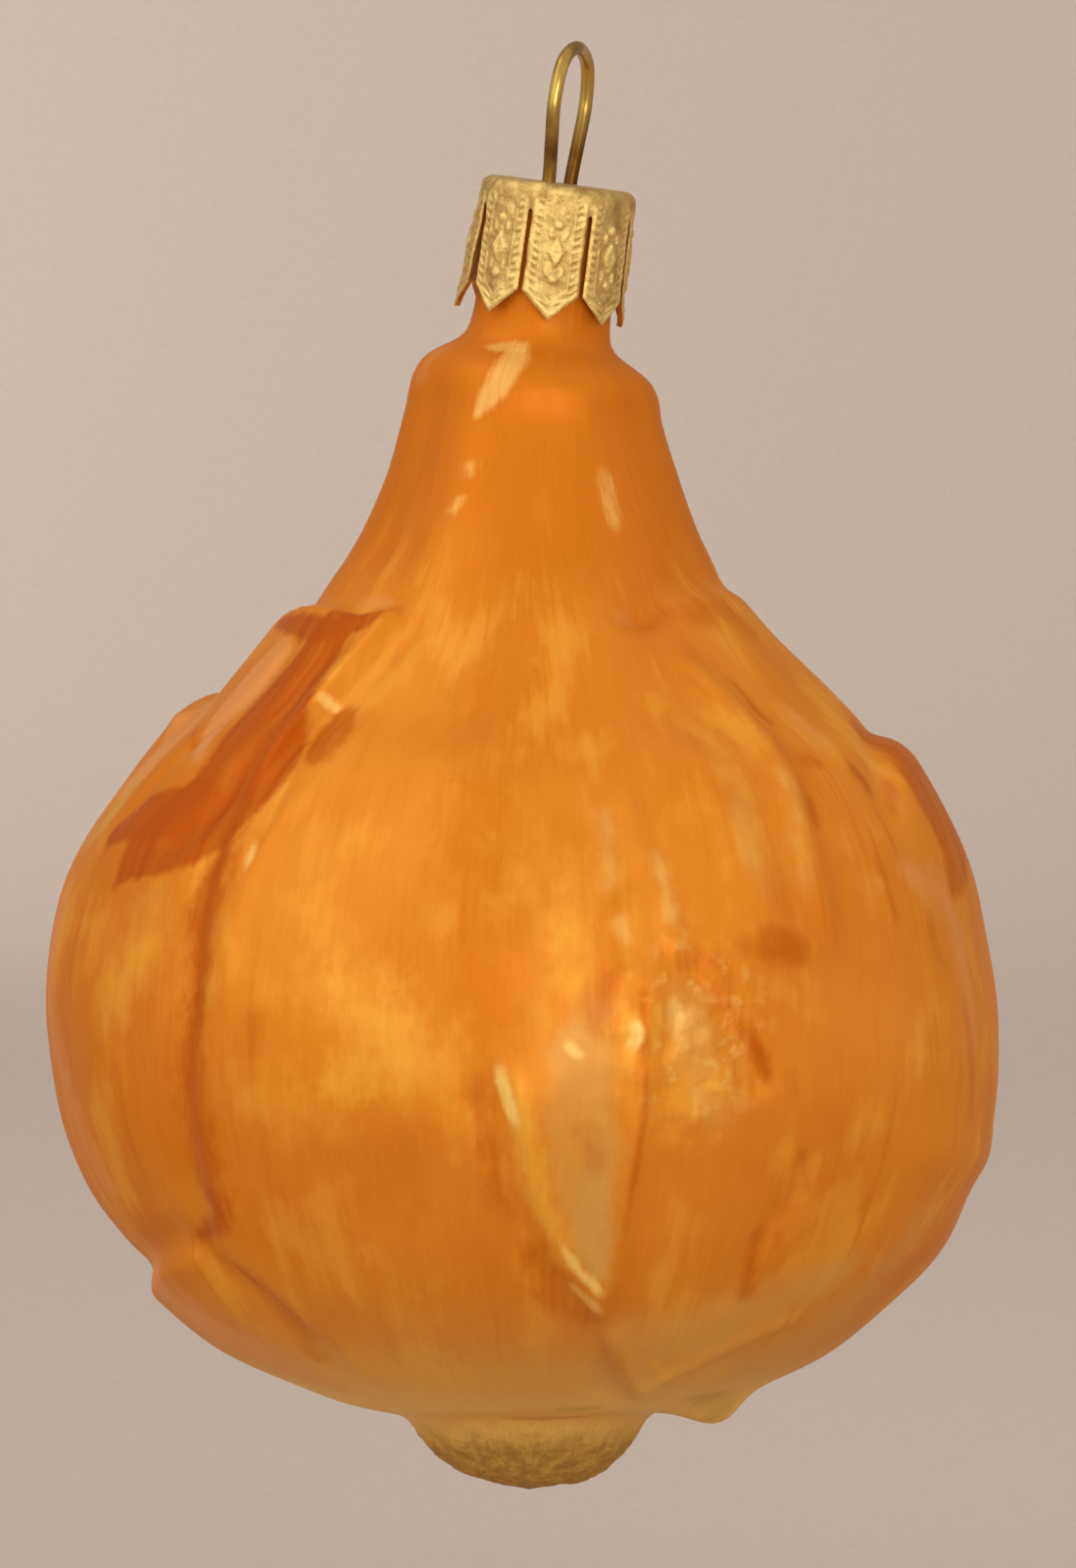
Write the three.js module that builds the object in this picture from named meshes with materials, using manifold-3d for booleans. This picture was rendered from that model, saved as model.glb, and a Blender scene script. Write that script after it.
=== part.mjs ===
// A blown-glass tree ornament in the shape of an onion, in millimetres, with +Z up.
// Three pieces: the hollow glass onion, the stamped metal cap on its neck, and the sprung wire whose
// loop hangs it. The origin is the inside of the wire loop, where a hook bears, and the front is -Y.
import * as THREE from "three";
import { mergeVertices } from "three/addons/utils/BufferGeometryUtils.js";
import Module from "manifold-3d";

const wasm = await Module();
wasm.setup();

const { degToRad, smoothstep, lerp, clamp, euclideanModulo } = THREE.MathUtils;

// Driving dimensions of the glass
const gap = 0.3; // between pieces that touch
const neckRadius = 4.45; // glass under the cap
const neckWall = 0.7; // glass thickness at the cut end
const rimHeight = 85; // cut end of the glass neck, measured along its spine
const lean = degToRad(8); // the neck leans off the body's axis
const leanTowards = degToRad(-20); // from +X, towards the front
const leanStart = 67; // heights between which the neck bends over
const leanEnd = 74;

// Driving dimensions of the cap
const sheet = 0.35;
const capRadius = 5.1;
const rollRadius = 0.7; // rounding of the top edge
const tabCount = 8;
const tabWidth = 3.6;
const tabTop = 1.7; // the slits between the tabs start this far down
const tabShoulder = 7.1;
const tabTip = 8.8;
const firstTab = degToRad(4);
const tabFlares = [1.2, 0.8, 1, 1.5, 0.6, 1.4, 5, 1].map(degToRad);
const borderWidth = 0.42;
const borderHeight = 0.18;
const lozengeHalf = [0.6, 1.1]; // half width and half height of the raised lozenge on each tab
const studRadius = 0.34;
const studOffset = 1.75; // from the lozenge's middle

// Driving dimensions of the wire
const wireRadius = 0.45;
const loopTurn = degToRad(73); // the loop's plane, from the X axis
const loopHeight = 9.4;
const legSpacing = 4.9;

// Fineness of the meshes
const outerRows = 52;
const glassSegments = 88;
const cavitySegments = 32;
const capSegments = 48;
const wireSteps = 76;

// Outer outline of the glass, as [radius, height above the lowest point].
const outline = [
  [0, 0], // root knob
  [4.3, 1.0],
  [6.7, 3.0],
  [8.2, 4.9], // crease over the knob
  [13.2, 6.2], // underside
  [20.0, 9.3],
  [24.2, 13.2],
  [28.0, 18.3],
  [30.6, 24.4],
  [31.3, 30.0], // widest
  [30.6, 36.4],
  [28.6, 42.4],
  [25.3, 47.3], // shoulder
  [20.4, 51.6],
  [15.4, 56.6],
  [11.9, 60.6],
  [9.5, 65.4], // dried leaf neck
  [7.95, 70.2],
  [7.35, 73.0],
  [4.9, 75.2], // turned in to the glass neck
  [4.55, 76.4],
  [neckRadius, 80.5],
  [neckRadius, rimHeight],
];

// Outline of the cavity, as [radius, height]. It is smooth, and its top is cut through the rim.
const cavity = [
  [0, 5.6],
  [6.0, 6.4],
  [13.0, 8.4],
  [19.5, 11.4],
  [24.4, 15.6],
  [27.8, 21.2],
  [29.5, 27.4],
  [29.6, 33.2],
  [27.8, 40.0],
  [24.4, 45.3],
  [19.3, 49.8],
  [14.3, 54.8],
  [10.7, 59.6],
  [8.3, 65.0],
  [6.7, 69.6],
  [neckRadius - neckWall, 73.2],
  [neckRadius - neckWall, rimHeight + 1],
];

// Edges of the onion's skins, in mm. Each path runs through [angle, height] points, the angle in
// degrees round the onion, 0 at the front and 90 on the right. Skin stands proud by `rise` on the
// path's left-hand side and dies away over `fade`, and a valley runs along its foot.
const skinEdges = [
  { name: "long left edge", rise: 0.6, fade: 7, valley: 0.3,
    path: [[-38, 50], [-42, 45], [-41, 39], [-41, 31], [-43, 25], [-44, 20.5], [-46, 17],
      [-40, 13.6], [-35, 10.4], [-36, 6.6]] },
  { name: "front tear, left edge", rise: 0.8, fade: 4.5, valley: 0.35,
    path: [[-5, 31], [-2.5, 27.5], [-1, 24], [0.5, 20.5], [3.5, 17], [7, 14.8], [11, 12.6],
      [15, 10], [22, 7.6], [32, 6.4]] },
  { name: "left flap", rise: 1.05, fade: 8, valley: 0.2,
    path: [[-41, 45], [-41, 49], [-38, 53], [-34, 57], [-46, 57], [-60, 57.6], [-76, 57.4],
      [-95, 56.2], [-112, 53]] },
  { name: "skin behind the left flap", rise: 1.15, fade: 4, valley: 0.1,
    path: [[-79, 49.4], [-90, 51], [-102, 51.8], [-114, 50.8], [-124, 48]] },
  { name: "lower left lobe", rise: 0.9, fade: 5, valley: 0.35,
    path: [[-47, 17.2], [-62, 15.8], [-80, 14], [-98, 13.2], [-116, 14.6]] },
  { name: "right shoulder", rise: 1.2, fade: 5, valley: 0.25,
    path: [[118, 44], [105, 47.2], [90, 48.9], [76, 48.8], [65, 46.8], [57, 43]] },
  { name: "right collar", rise: 0.25, fade: 3, valley: 0.25,
    path: [[112, 56.6], [88, 58.4], [62, 58.8], [40, 57.6], [26, 55.6]] },
  { name: "back edge, right", rise: 0.6, fade: 6.5, valley: 0.3,
    path: [[128, 56], [131, 48], [129, 38], [127, 28], [131, 20], [139, 13], [146, 7]] },
  { name: "back flap", rise: 0.9, fade: 6, valley: 0.25,
    path: [[196, 47], [187, 51.6], [174, 54.6], [158, 55.2], [144, 53], [136, 49]] },
  { name: "back tear", rise: 0.7, fade: 4.5, valley: 0.3,
    path: [[174, 34], [175, 28], [178, 22], [184, 16.5], [192, 12.4], [204, 8.2]] },
  { name: "back edge, left", rise: 0.55, fade: 6, valley: 0.3,
    path: [[-117, 7], [-121, 11.5], [-128, 17.5], [-133, 25], [-136, 33], [-134, 42], [-138, 50]] },
];
const edgeHalfWidth = 1.0; // of the rounded step at a skin's edge
const pathEnd = 0.14; // share of a path over which it dies away at each end

// Folds with a positive height and creases with a negative one, along paths of the same kind.
const folds = [
  { name: "front tear, right edge", height: 0.4, width: 0.8,
    path: [[14, 37], [13.5, 30], [12.8, 25], [12, 19], [11, 13]] },
  { name: "right fold", height: 0.45, width: 1.3,
    path: [[30, 55.6], [37, 53], [40.5, 49.5], [39, 45.5], [38.5, 41], [39, 34]] },
  { name: "right corner", height: 0.45, width: 1.8,
    path: [[50, 23.5], [72, 22.4], [92, 22], [112, 24]] },
  { name: "crease in the left flap", height: -0.5, width: 1.1,
    path: [[-44, 56], [-47, 52], [-45, 48.5], [-48, 44.5], [-55, 41.5]] },
  { name: "outer crease in the left flap", height: -0.4, width: 1.0,
    path: [[-60, 56], [-63, 52], [-66, 47.5], [-70, 43]] },
  { name: "front right crease", height: -0.35, width: 0.9,
    path: [[18, 36], [22, 33], [26, 29.5], [28, 26.5]] },
  { name: "lower right crease", height: -0.3, width: 1.0,
    path: [[36, 24], [35, 20.5], [31, 17], [29, 12.5]] },
  { name: "back tear, right edge", height: 0.4, width: 0.8,
    path: [[195, 39], [196, 31], [195, 22], [193, 13]] },
  { name: "crease in the back flap", height: -0.45, width: 1.2,
    path: [[168, 54], [170, 49], [166, 44], [160, 40]] },
  { name: "back left fold", height: 0.4, width: 1.2,
    path: [[-160, 52], [-163, 46], [-161, 39], [-163, 31]] },
];

// Rounded swellings and hollows: centre [angle, height], reach round and up the onion, and height.
const swellings = [
  { name: "blister on the left", at: [-32, 49.4], reach: [1.7, 2.1], height: 0.45 },
  { name: "blister on the right", at: [29.5, 37], reach: [2.3, 1.3], height: 0.35 },
  { name: "skin tip below", at: [72, 6.0], reach: [3.6, 2.0], height: 1.5 },
  { name: "left root of the neck", at: [-70, 60], reach: [4, 3], height: 0.4 },
  { name: "dimple below the collar", at: [30, 57.2], reach: [2.4, 1.3], height: -0.5 },
  { name: "blister on the back", at: [152, 34], reach: [2.6, 1.6], height: 0.4 },
  { name: "fuller left side", at: [-90, 38], reach: [26, 8], height: 0.75 },
  { name: "flatter right side", at: [90, 35], reach: [26, 10], height: -0.7 },
  { name: "fuller right side of the neck", at: [90, 71], reach: [7, 7], height: 0.4 },
  { name: "fuller low on the right", at: [90, 17], reach: [20, 4.5], height: 0.4 },
  { name: "flatter low on the left", at: [-90, 16], reach: [20, 3], height: -0.3 },
];

// Waves round the neck, and the knob's root stubs, which run in rings of bumps.
const neckWaves = [
  { count: 6, depth: 0.2, crest: 32 },
  { count: 4, depth: 0.15, crest: -12 },
];
const rootStubs = { count: 13, depth: 0.3, ringsPerMm: 0.3 };

// Geometry helpers

// Leaves only positions, with shared vertices, and no face that the weld has closed up.
function weld(geometry) {
  const loose = geometry.index ? geometry.toNonIndexed() : geometry;
  loose.deleteAttribute("normal");
  loose.deleteAttribute("uv");
  const welded = mergeVertices(loose, 1e-4);
  const kept = [];
  for (let i = 0; i < welded.index.count; i += 3) {
    const corners = [0, 1, 2].map((k) => welded.index.getX(i + k));
    if (new Set(corners).size === 3) kept.push(...corners);
  }
  return welded.setIndex(kept);
}

function toManifold(geometry) {
  return new wasm.Manifold(new wasm.Mesh({
    numProp: 3,
    vertProperties: geometry.getAttribute("position").array,
    triVerts: new Uint32Array(geometry.index.array),
  }));
}

// A closed body with its faces pointing out, whichever way the geometry was wound.
function solid(geometry) {
  const welded = weld(geometry);
  const body = toManifold(welded);
  if (body.volume() > 0) return body;
  return toManifold(welded.setIndex(Array.from(welded.index.array).reverse()));
}

function toGeometry(body) {
  const mesh = body.getMesh();
  return new THREE.BufferGeometry()
    .setAttribute("position", new THREE.BufferAttribute(mesh.vertProperties, 3))
    .setIndex(new THREE.BufferAttribute(mesh.triVerts, 1));
}

const flatPoints = (pairs) => pairs.map(([x, y]) => new THREE.Vector2(x, y));

function smoothCurve(points) {
  return new THREE.CatmullRomCurve3(points, false, "centripetal");
}

// Outline of the glass
const outlineCurve = smoothCurve(outline.map(([r, h]) => new THREE.Vector3(r, h, 0)));
outlineCurve.arcLengthDivisions = 800;

// Stations up the outline: radius, height, outward direction and length along the outline.
function outlineStations(rows) {
  const length = outlineCurve.getLength();
  return Array.from({ length: rows + 1 }, (_, i) => {
    const share = i / rows;
    const point = outlineCurve.getPointAt(share);
    const along = outlineCurve.getTangentAt(share);
    return { r: point.x, h: point.y, out: new THREE.Vector2(along.y, -along.x), s: share * length };
  });
}
const fineStations = outlineStations(400);

function lengthAtHeight(height) {
  const above = fineStations.findIndex((station) => station.h >= height);
  const low = fineStations[above - 1];
  const high = fineStations[above];
  return lerp(low.s, high.s, (height - low.h) / (high.h - low.h));
}

// Relief of the glass

// A path through [angle, height] points, as finer [angle, length up the outline] points.
function smoothPath(points) {
  const curve = smoothCurve(points.map(([angle, h]) => new THREE.Vector3(angle, lengthAtHeight(h), 0)));
  return curve.getPoints(points.length * 4).map((point) => [point.x, point.y]);
}
for (const feature of [...skinEdges, ...folds]) feature.line = smoothPath(feature.path);
for (const swelling of swellings) swelling.s = lengthAtHeight(swelling.at[1]);

// Distance round the onion in mm from a spot to an angle, the short way.
const around = (angle, spot) => degToRad(euclideanModulo(angle - spot.angle + 180, 360) - 180) * spot.r;

// The nearest point of a line to a spot: `away` is the distance, `across` is the same with a sign,
// positive on the line's left-hand side, and `along` runs from 0 to 1.
function nearest(line, spot) {
  let best = { away: Infinity };
  for (let i = 1; i < line.length; i++) {
    const ax = around(line[i - 1][0], spot);
    const ay = line[i - 1][1] - spot.s;
    const dx = degToRad(line[i][0] - line[i - 1][0]) * spot.r;
    const dy = line[i][1] - line[i - 1][1];
    const share = clamp(-(ax * dx + ay * dy) / (dx * dx + dy * dy), 0, 1);
    const away = Math.hypot(ax + share * dx, ay + share * dy);
    const side = Math.sign(ax * dy - ay * dx) || 1;
    if (away < best.away) best = { away, across: side * away, along: (i - 1 + share) / (line.length - 1) };
  }
  return best;
}

const dieAtEnds = (along) => smoothstep(along, 0, pathEnd) * smoothstep(1 - along, 0, pathEnd);
const bell = (x) => Math.exp(-x * x);
const wave = (count, angle) => Math.cos(degToRad(count * angle));

function edgeRelief(edge, spot) {
  const { across, along } = nearest(edge.line, spot);
  const step = smoothstep(across, -edgeHalfWidth, edgeHalfWidth) * Math.exp(-Math.max(across, 0) / edge.fade);
  const valley = bell(across / edgeHalfWidth + 1.5);
  return dieAtEnds(along) * (edge.rise * step - edge.valley * valley);
}

function foldRelief(fold, spot) {
  const { away, along } = nearest(fold.line, spot);
  return dieAtEnds(along) * fold.height * bell(away / fold.width);
}

function swellingRelief({ at, s, reach, height }, spot) {
  return height * bell(around(at[0], spot) / reach[0]) * bell((spot.s - s) / reach[1]);
}

// How far the glass stands out of its outline at a spot { angle, r, h, s }.
function relief(spot) {
  let out = 0;
  for (const edge of skinEdges) out += edgeRelief(edge, spot);
  for (const fold of folds) out += foldRelief(fold, spot);
  for (const swelling of swellings) out += swellingRelief(swelling, spot);
  const onNeck = smoothstep(spot.h, 54, 62) * (1 - smoothstep(spot.h, 71, 75));
  for (const { count, depth, crest } of neckWaves) out += depth * onNeck * wave(count, spot.angle - crest);
  const onKnob = smoothstep(spot.h, 0.3, 1.5) * (1 - smoothstep(spot.h, 3.6, 5));
  const rings = Math.cos(2 * Math.PI * rootStubs.ringsPerMm * spot.s);
  out += rootStubs.depth * onKnob * wave(rootStubs.count, spot.angle) * rings;
  return out * (1 - smoothstep(spot.h, 73.5, 76.5));
}

// Spine of the neck
const leanAxis = new THREE.Vector3(-Math.sin(leanTowards), Math.cos(leanTowards), 0);
const leanDirection = new THREE.Vector3(Math.cos(leanTowards), Math.sin(leanTowards), 0);
const bendRadius = (leanEnd - leanStart) / lean;

// Where the spine is at a height, and how it has turned there.
function spineAt(height) {
  const turned = clamp((height - leanStart) / bendRadius, 0, lean);
  const turn = new THREE.Quaternion().setFromAxisAngle(leanAxis, turned);
  const centre = leanDirection.clone().multiplyScalar(bendRadius * (1 - Math.cos(turned)));
  centre.z = Math.min(height, leanStart) + bendRadius * Math.sin(turned);
  const beyond = new THREE.Vector3(0, 0, Math.max(height - leanEnd, 0)).applyQuaternion(turn);
  return { centre: centre.add(beyond), turn };
}

// The glass onion

// Turns rows about the spine. Each row has a radius and a height, and `rise` gives what stands out.
function turnRows(rows, segments, rise) {
  const geometry = new THREE.LatheGeometry(rows.map(({ r, h }) => new THREE.Vector2(r, h)), segments);
  const position = geometry.getAttribute("position");
  const front = new THREE.Vector3(0, -1, 0);
  const up = new THREE.Vector3(0, 0, 1);
  for (let i = 0; i < position.count; i++) {
    const row = rows[i % rows.length];
    const angle = (360 * (Math.floor(i / rows.length) % segments)) / segments;
    const proud = row.r > 0 ? rise({ angle, ...row }) : 0;
    const { centre, turn } = spineAt(row.h + proud * row.out.y);
    const place = front.clone().applyAxisAngle(up, degToRad(angle)).multiplyScalar(row.r + proud * row.out.x);
    position.setXYZ(i, ...place.applyQuaternion(turn).add(centre));
  }
  return solid(geometry);
}

function makeGlass() {
  const out = new THREE.Vector2(1, 0);
  const outside = [...outlineStations(outerRows), { r: 0, h: rimHeight, out }];
  outside[0].r = 0;
  const inside = [...cavity, [0, rimHeight + 1]].map(([r, h]) => ({ r, h, out }));
  const shell = turnRows(outside, glassSegments, relief);
  return toGeometry(shell.subtract(turnRows(inside, cavitySegments, () => 0)));
}

// The cap, with its top face at z = 0

// A quarter round from the flat top to the side, `inset` within the cap's outer face.
function topEdge(inset) {
  const radius = rollRadius - inset;
  return Array.from({ length: 5 }, (_, i) => {
    const a = (i / 4) * (Math.PI / 2);
    return [capRadius - rollRadius + radius * Math.sin(a), radius * Math.cos(a) - rollRadius];
  });
}

function capTop() {
  const side = [[capRadius, -tabTop], [capRadius - sheet, -tabTop]];
  const section = [[0, 0], ...topEdge(0), ...side, ...topEdge(sheet).reverse(), [0, -sheet]];
  return solid(new THREE.LatheGeometry(flatPoints(section), capSegments).rotateX(Math.PI / 2));
}

// A round sleeve from the tabs' inner face out to a given radius, longer than the tabs.
function sleeve(outer) {
  const inner = capRadius - sheet;
  const length = 2 * tabTip;
  const section = [[inner, 0], [outer, 0], [outer, -length], [inner, -length], [inner, 0]];
  return solid(new THREE.LatheGeometry(flatPoints(section), capSegments).rotateX(Math.PI / 2));
}

// An outline as seen from the front, driven straight through the front half of the cap.
function punch(points, hole) {
  const shape = new THREE.Shape(flatPoints(points));
  if (hole) shape.holes.push(new THREE.Path(flatPoints(hole)));
  const geometry = new THREE.ExtrudeGeometry(shape, { depth: 2 * capRadius, bevelEnabled: false });
  return solid(geometry.rotateX(Math.PI / 2));
}

function tabOutline(inset, top) {
  const half = tabWidth / 2 - inset;
  const shoulder = 0.4 * inset - tabShoulder;
  return [[-half, top], [-half, shoulder], [0, inset - tabTip], [half, shoulder], [half, top]];
}

function disc(x, y, radius, sides) {
  return Array.from({ length: sides }, (_, i) => {
    const a = (2 * Math.PI * i) / sides;
    return [x + radius * Math.cos(a), y + radius * Math.sin(a)];
  });
}

// A pointed tab at the front: a raised border, and a lozenge between two round studs.
function makeTab() {
  const middle = -(tabTop + tabShoulder) / 2;
  const [wide, high] = lozengeHalf;
  const lozenge = [[0, middle + high], [-wide, middle], [0, middle - high], [wide, middle]];
  const raised = punch(tabOutline(0.02, -tabTop), tabOutline(borderWidth, -tabTop - borderWidth))
    .add(punch(lozenge))
    .add(punch(disc(0, middle + studOffset, studRadius, 10)))
    .add(punch(disc(0, middle - studOffset, studRadius, 10)));
  const plate = sleeve(capRadius).intersect(punch(tabOutline(0, gap - tabTop)));
  return plate.add(sleeve(capRadius + borderHeight).intersect(raised));
}

function makeCap() {
  const tab = makeTab();
  let cap = capTop();
  tabFlares.forEach((flare, k) => {
    // Swung out about the front of the cap's top edge, then turned to its place.
    const placed = new THREE.Matrix4().makeRotationZ(firstTab + (k * 2 * Math.PI) / tabCount)
      .multiply(new THREE.Matrix4().makeTranslation(0, -capRadius, 0))
      .multiply(new THREE.Matrix4().makeRotationX(-flare))
      .multiply(new THREE.Matrix4().makeTranslation(0, capRadius, 0));
    cap = cap.add(tab.transform(placed.elements));
  });
  for (const side of [-1, 1]) {
    const hole = new THREE.CylinderGeometry(wireRadius + gap, wireRadius + gap, 10 * sheet, 14);
    hole.rotateX(Math.PI / 2).translate((side * legSpacing) / 2, 0, 0).rotateZ(loopTurn);
    cap = cap.subtract(solid(hole));
  }
  return toGeometry(cap);
}

// The wire, with the cap's top face at z = 0

// The right half of its centre line, from the leg's end up to the loop's top.
const rightHalf = [
  [5.0, -18.8], // leg spread under the neck
  [3.9, -15.8],
  [3.1, -12.6],
  [3.0, -9.5], // leg along the neck's wall
  [3.0, -6],
  [2.9, -3.2],
  [legSpacing / 2, -0.6], // through the cap
  [legSpacing / 2, 0.4],
  [3.0, 2.8], // loop
  [3.5, 5.4],
  [2.7, 7.9],
];

function makeWire() {
  const left = rightHalf.map(([x, z]) => new THREE.Vector3(-x, 0, z));
  const right = rightHalf.map(([x, z]) => new THREE.Vector3(x, 0, z)).reverse();
  const line = smoothCurve([...left, new THREE.Vector3(0, 0, loopHeight - wireRadius), ...right]);
  const round = new THREE.Shape().absarc(0, 0, wireRadius, 0, 2 * Math.PI);
  const wire = new THREE.ExtrudeGeometry(round, { steps: wireSteps, extrudePath: line, curveSegments: 5 });
  return toGeometry(solid(wire.rotateZ(loopTurn)));
}

// Assembly
const lacquer = new THREE.MeshStandardMaterial({ color: 0xd67a1e, roughness: 0.42, metalness: 0.35 });
const gilt = new THREE.MeshStandardMaterial({ color: 0xd8b368, roughness: 0.3, metalness: 1 });
const brass = new THREE.MeshStandardMaterial({ color: 0x9d7938, roughness: 0.35, metalness: 1 });

function piece(name, geometry, material) {
  geometry.computeVertexNormals();
  const mesh = new THREE.Mesh(geometry, material);
  mesh.name = name;
  return mesh;
}

const capPlace = spineAt(rimHeight + gap + sheet);
const onNeck = new THREE.Group();
onNeck.position.copy(capPlace.centre);
onNeck.quaternion.copy(capPlace.turn);
onNeck.add(piece("cap", makeCap(), gilt), piece("hanger_wire", makeWire(), brass));

// The hook bears on the inside of the loop's top, which is put at the origin.
const bearing = new THREE.Vector3(0, 0, loopHeight - 2 * wireRadius)
  .applyQuaternion(capPlace.turn)
  .add(capPlace.centre);
const group = new THREE.Group();
group.add(piece("glass_onion", makeGlass(), lacquer), onNeck);
group.position.copy(bearing).negate();
export default group;
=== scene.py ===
"""The looks of a blown-glass onion ornament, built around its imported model.

Each operator in the sidebar panel makes one piece. The origin is the inside of the wire loop's top,
+Z is up and -Y is the front. Sizes here are in millimetres until a piece is placed, in metres.
"""

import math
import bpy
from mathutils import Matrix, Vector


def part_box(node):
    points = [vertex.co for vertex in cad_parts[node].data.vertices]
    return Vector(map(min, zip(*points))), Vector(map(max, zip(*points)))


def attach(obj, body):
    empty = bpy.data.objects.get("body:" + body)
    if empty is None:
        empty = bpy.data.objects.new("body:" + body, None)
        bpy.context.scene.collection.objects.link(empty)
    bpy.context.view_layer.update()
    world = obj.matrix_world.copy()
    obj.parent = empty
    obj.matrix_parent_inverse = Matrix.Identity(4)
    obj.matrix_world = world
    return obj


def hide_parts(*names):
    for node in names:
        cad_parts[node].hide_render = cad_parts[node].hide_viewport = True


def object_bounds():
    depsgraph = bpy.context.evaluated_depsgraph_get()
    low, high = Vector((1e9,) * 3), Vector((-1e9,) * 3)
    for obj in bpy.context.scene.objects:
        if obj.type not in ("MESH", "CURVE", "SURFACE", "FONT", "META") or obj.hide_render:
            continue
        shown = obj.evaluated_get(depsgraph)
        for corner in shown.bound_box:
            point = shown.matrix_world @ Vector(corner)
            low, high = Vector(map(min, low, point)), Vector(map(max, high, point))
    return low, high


bl_info = {
    "name": "Glass Onion Ornament",
    "version": (1, 0, 0),
    "blender": (4, 5, 0),
    "location": "View3D > Sidebar > Onion",
    "description": "A lacquered glass onion with a stamped cap and a wire loop",
    "category": "Object",
}

import bmesh
import bpy
import numpy as np
from mathutils import Matrix, Quaternion, Vector, noise

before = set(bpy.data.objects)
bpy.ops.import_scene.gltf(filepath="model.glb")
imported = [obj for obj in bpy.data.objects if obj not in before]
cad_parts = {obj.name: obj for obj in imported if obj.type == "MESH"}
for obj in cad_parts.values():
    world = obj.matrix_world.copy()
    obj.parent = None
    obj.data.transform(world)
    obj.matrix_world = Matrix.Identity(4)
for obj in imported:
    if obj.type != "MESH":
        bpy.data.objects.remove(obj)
CAD_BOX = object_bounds()
MM = 0.001

# Sizes shared with the model
NECK_RADIUS = 4.45
NECK_WALL = 0.7
RIM_HEIGHT = 85.0
GAP = 0.3
SHEET = 0.35
LEAN = math.radians(8)
LEAN_TOWARDS = math.radians(-20)
LEAN_START = 67.0
LEAN_END = 74.0
LOOP_HEIGHT = 9.4
WIRE_RADIUS = 0.45
LOOP_TURN = math.radians(73)
LEG_SPACING = 4.9

# Outer outline of the glass, as (radius, height above the lowest point)
OUTLINE = [
    (0, 0), (4.3, 1.0), (6.7, 3.0), (8.2, 4.9),
    (13.2, 6.2), (20.0, 9.3), (24.2, 13.2), (28.0, 18.3),
    (30.6, 24.4), (31.3, 30.0), (30.6, 36.4), (28.6, 42.4),
    (25.3, 47.3), (20.4, 51.6), (15.4, 56.6), (11.9, 60.6),
    (9.5, 65.4), (7.95, 70.2), (7.35, 73.0), (4.9, 75.2),
    (4.55, 76.4), (NECK_RADIUS, 80.5), (NECK_RADIUS, RIM_HEIGHT),
]

# Outline of the cavity, from the rim down to the floor
CAVITY = [
    (NECK_RADIUS - NECK_WALL, RIM_HEIGHT), (NECK_RADIUS - NECK_WALL, 79), (3.75, 73.2), (6.7, 69.6),
    (8.3, 65.0), (10.7, 59.6), (14.3, 54.8), (19.3, 49.8),
    (24.4, 45.3), (27.8, 40.0), (29.6, 33.2), (29.5, 27.4),
    (27.8, 21.2), (24.4, 15.6), (19.5, 11.4), (13.0, 8.4),
    (6.0, 6.4), (0, 5.6),
]

# Skin edges: rise, fade, valley, half width of the step, and a path through (angle, height) points.
# The skin stands proud on the path's left. Angles are round the onion, 0 at the front, 90 on the right.
SKIN_EDGES = {
    "long left edge": (0.5, 7, 0.2, 1.2, [
        (-41, 45.5), (-41.5, 42), (-41, 37), (-41, 31), (-43, 25), (-44, 20.5), (-46, 17),
        (-40, 13.6), (-35, 10.4), (-36, 6.6)]),
    "front tear, left edge": (0.8, 4.5, 0.35, 0.55, [
        (-5, 31), (-2.5, 27.5), (-1, 24), (0.5, 20.5), (3.5, 17), (7, 14.8), (11, 12.6),
        (15, 10), (22, 7.6), (32, 6.4)]),
    "left flap": (1.05, 8, 0.2, 0.65, [
        (-41, 45), (-41, 49), (-38, 53), (-34, 57), (-46, 57), (-60, 57.6), (-76, 57.4),
        (-95, 56.2), (-112, 53)]),
    "skin behind the left flap": (1.15, 4, 0.1, 0.8, [
        (-79, 49.4), (-90, 51), (-102, 51.8), (-114, 50.8), (-124, 48)]),
    "lower left lobe": (0.9, 5, 0.35, 0.7, [
        (-47, 17.2), (-62, 15.8), (-80, 14), (-98, 13.2), (-116, 14.6)]),
    "right shoulder": (1.0, 5, 0.25, 1.9, [
        (118, 44), (105, 47.2), (90, 48.9), (76, 48.8), (65, 46.8), (57, 43)]),
    "right collar": (0.25, 3, 0.25, 0.8, [(112, 56.6), (88, 58.4), (62, 58.8), (40, 57.6), (26, 55.6)]),
    "back edge, right": (0.6, 6.5, 0.3, 0.8, [
        (128, 56), (131, 48), (129, 38), (127, 28), (131, 20), (139, 13), (146, 7)]),
    "back flap": (0.9, 6, 0.25, 0.65, [
        (196, 47), (187, 51.6), (174, 54.6), (158, 55.2), (144, 53), (136, 49)]),
    "back tear": (0.7, 4.5, 0.3, 0.55, [
        (174, 34), (175, 28), (178, 22), (184, 16.5), (192, 12.4), (204, 8.2)]),
    "back edge, left": (0.55, 6, 0.3, 0.8, [
        (-117, 7), (-121, 11.5), (-128, 17.5), (-133, 25), (-136, 33), (-134, 42), (-138, 50)]),
}

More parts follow.
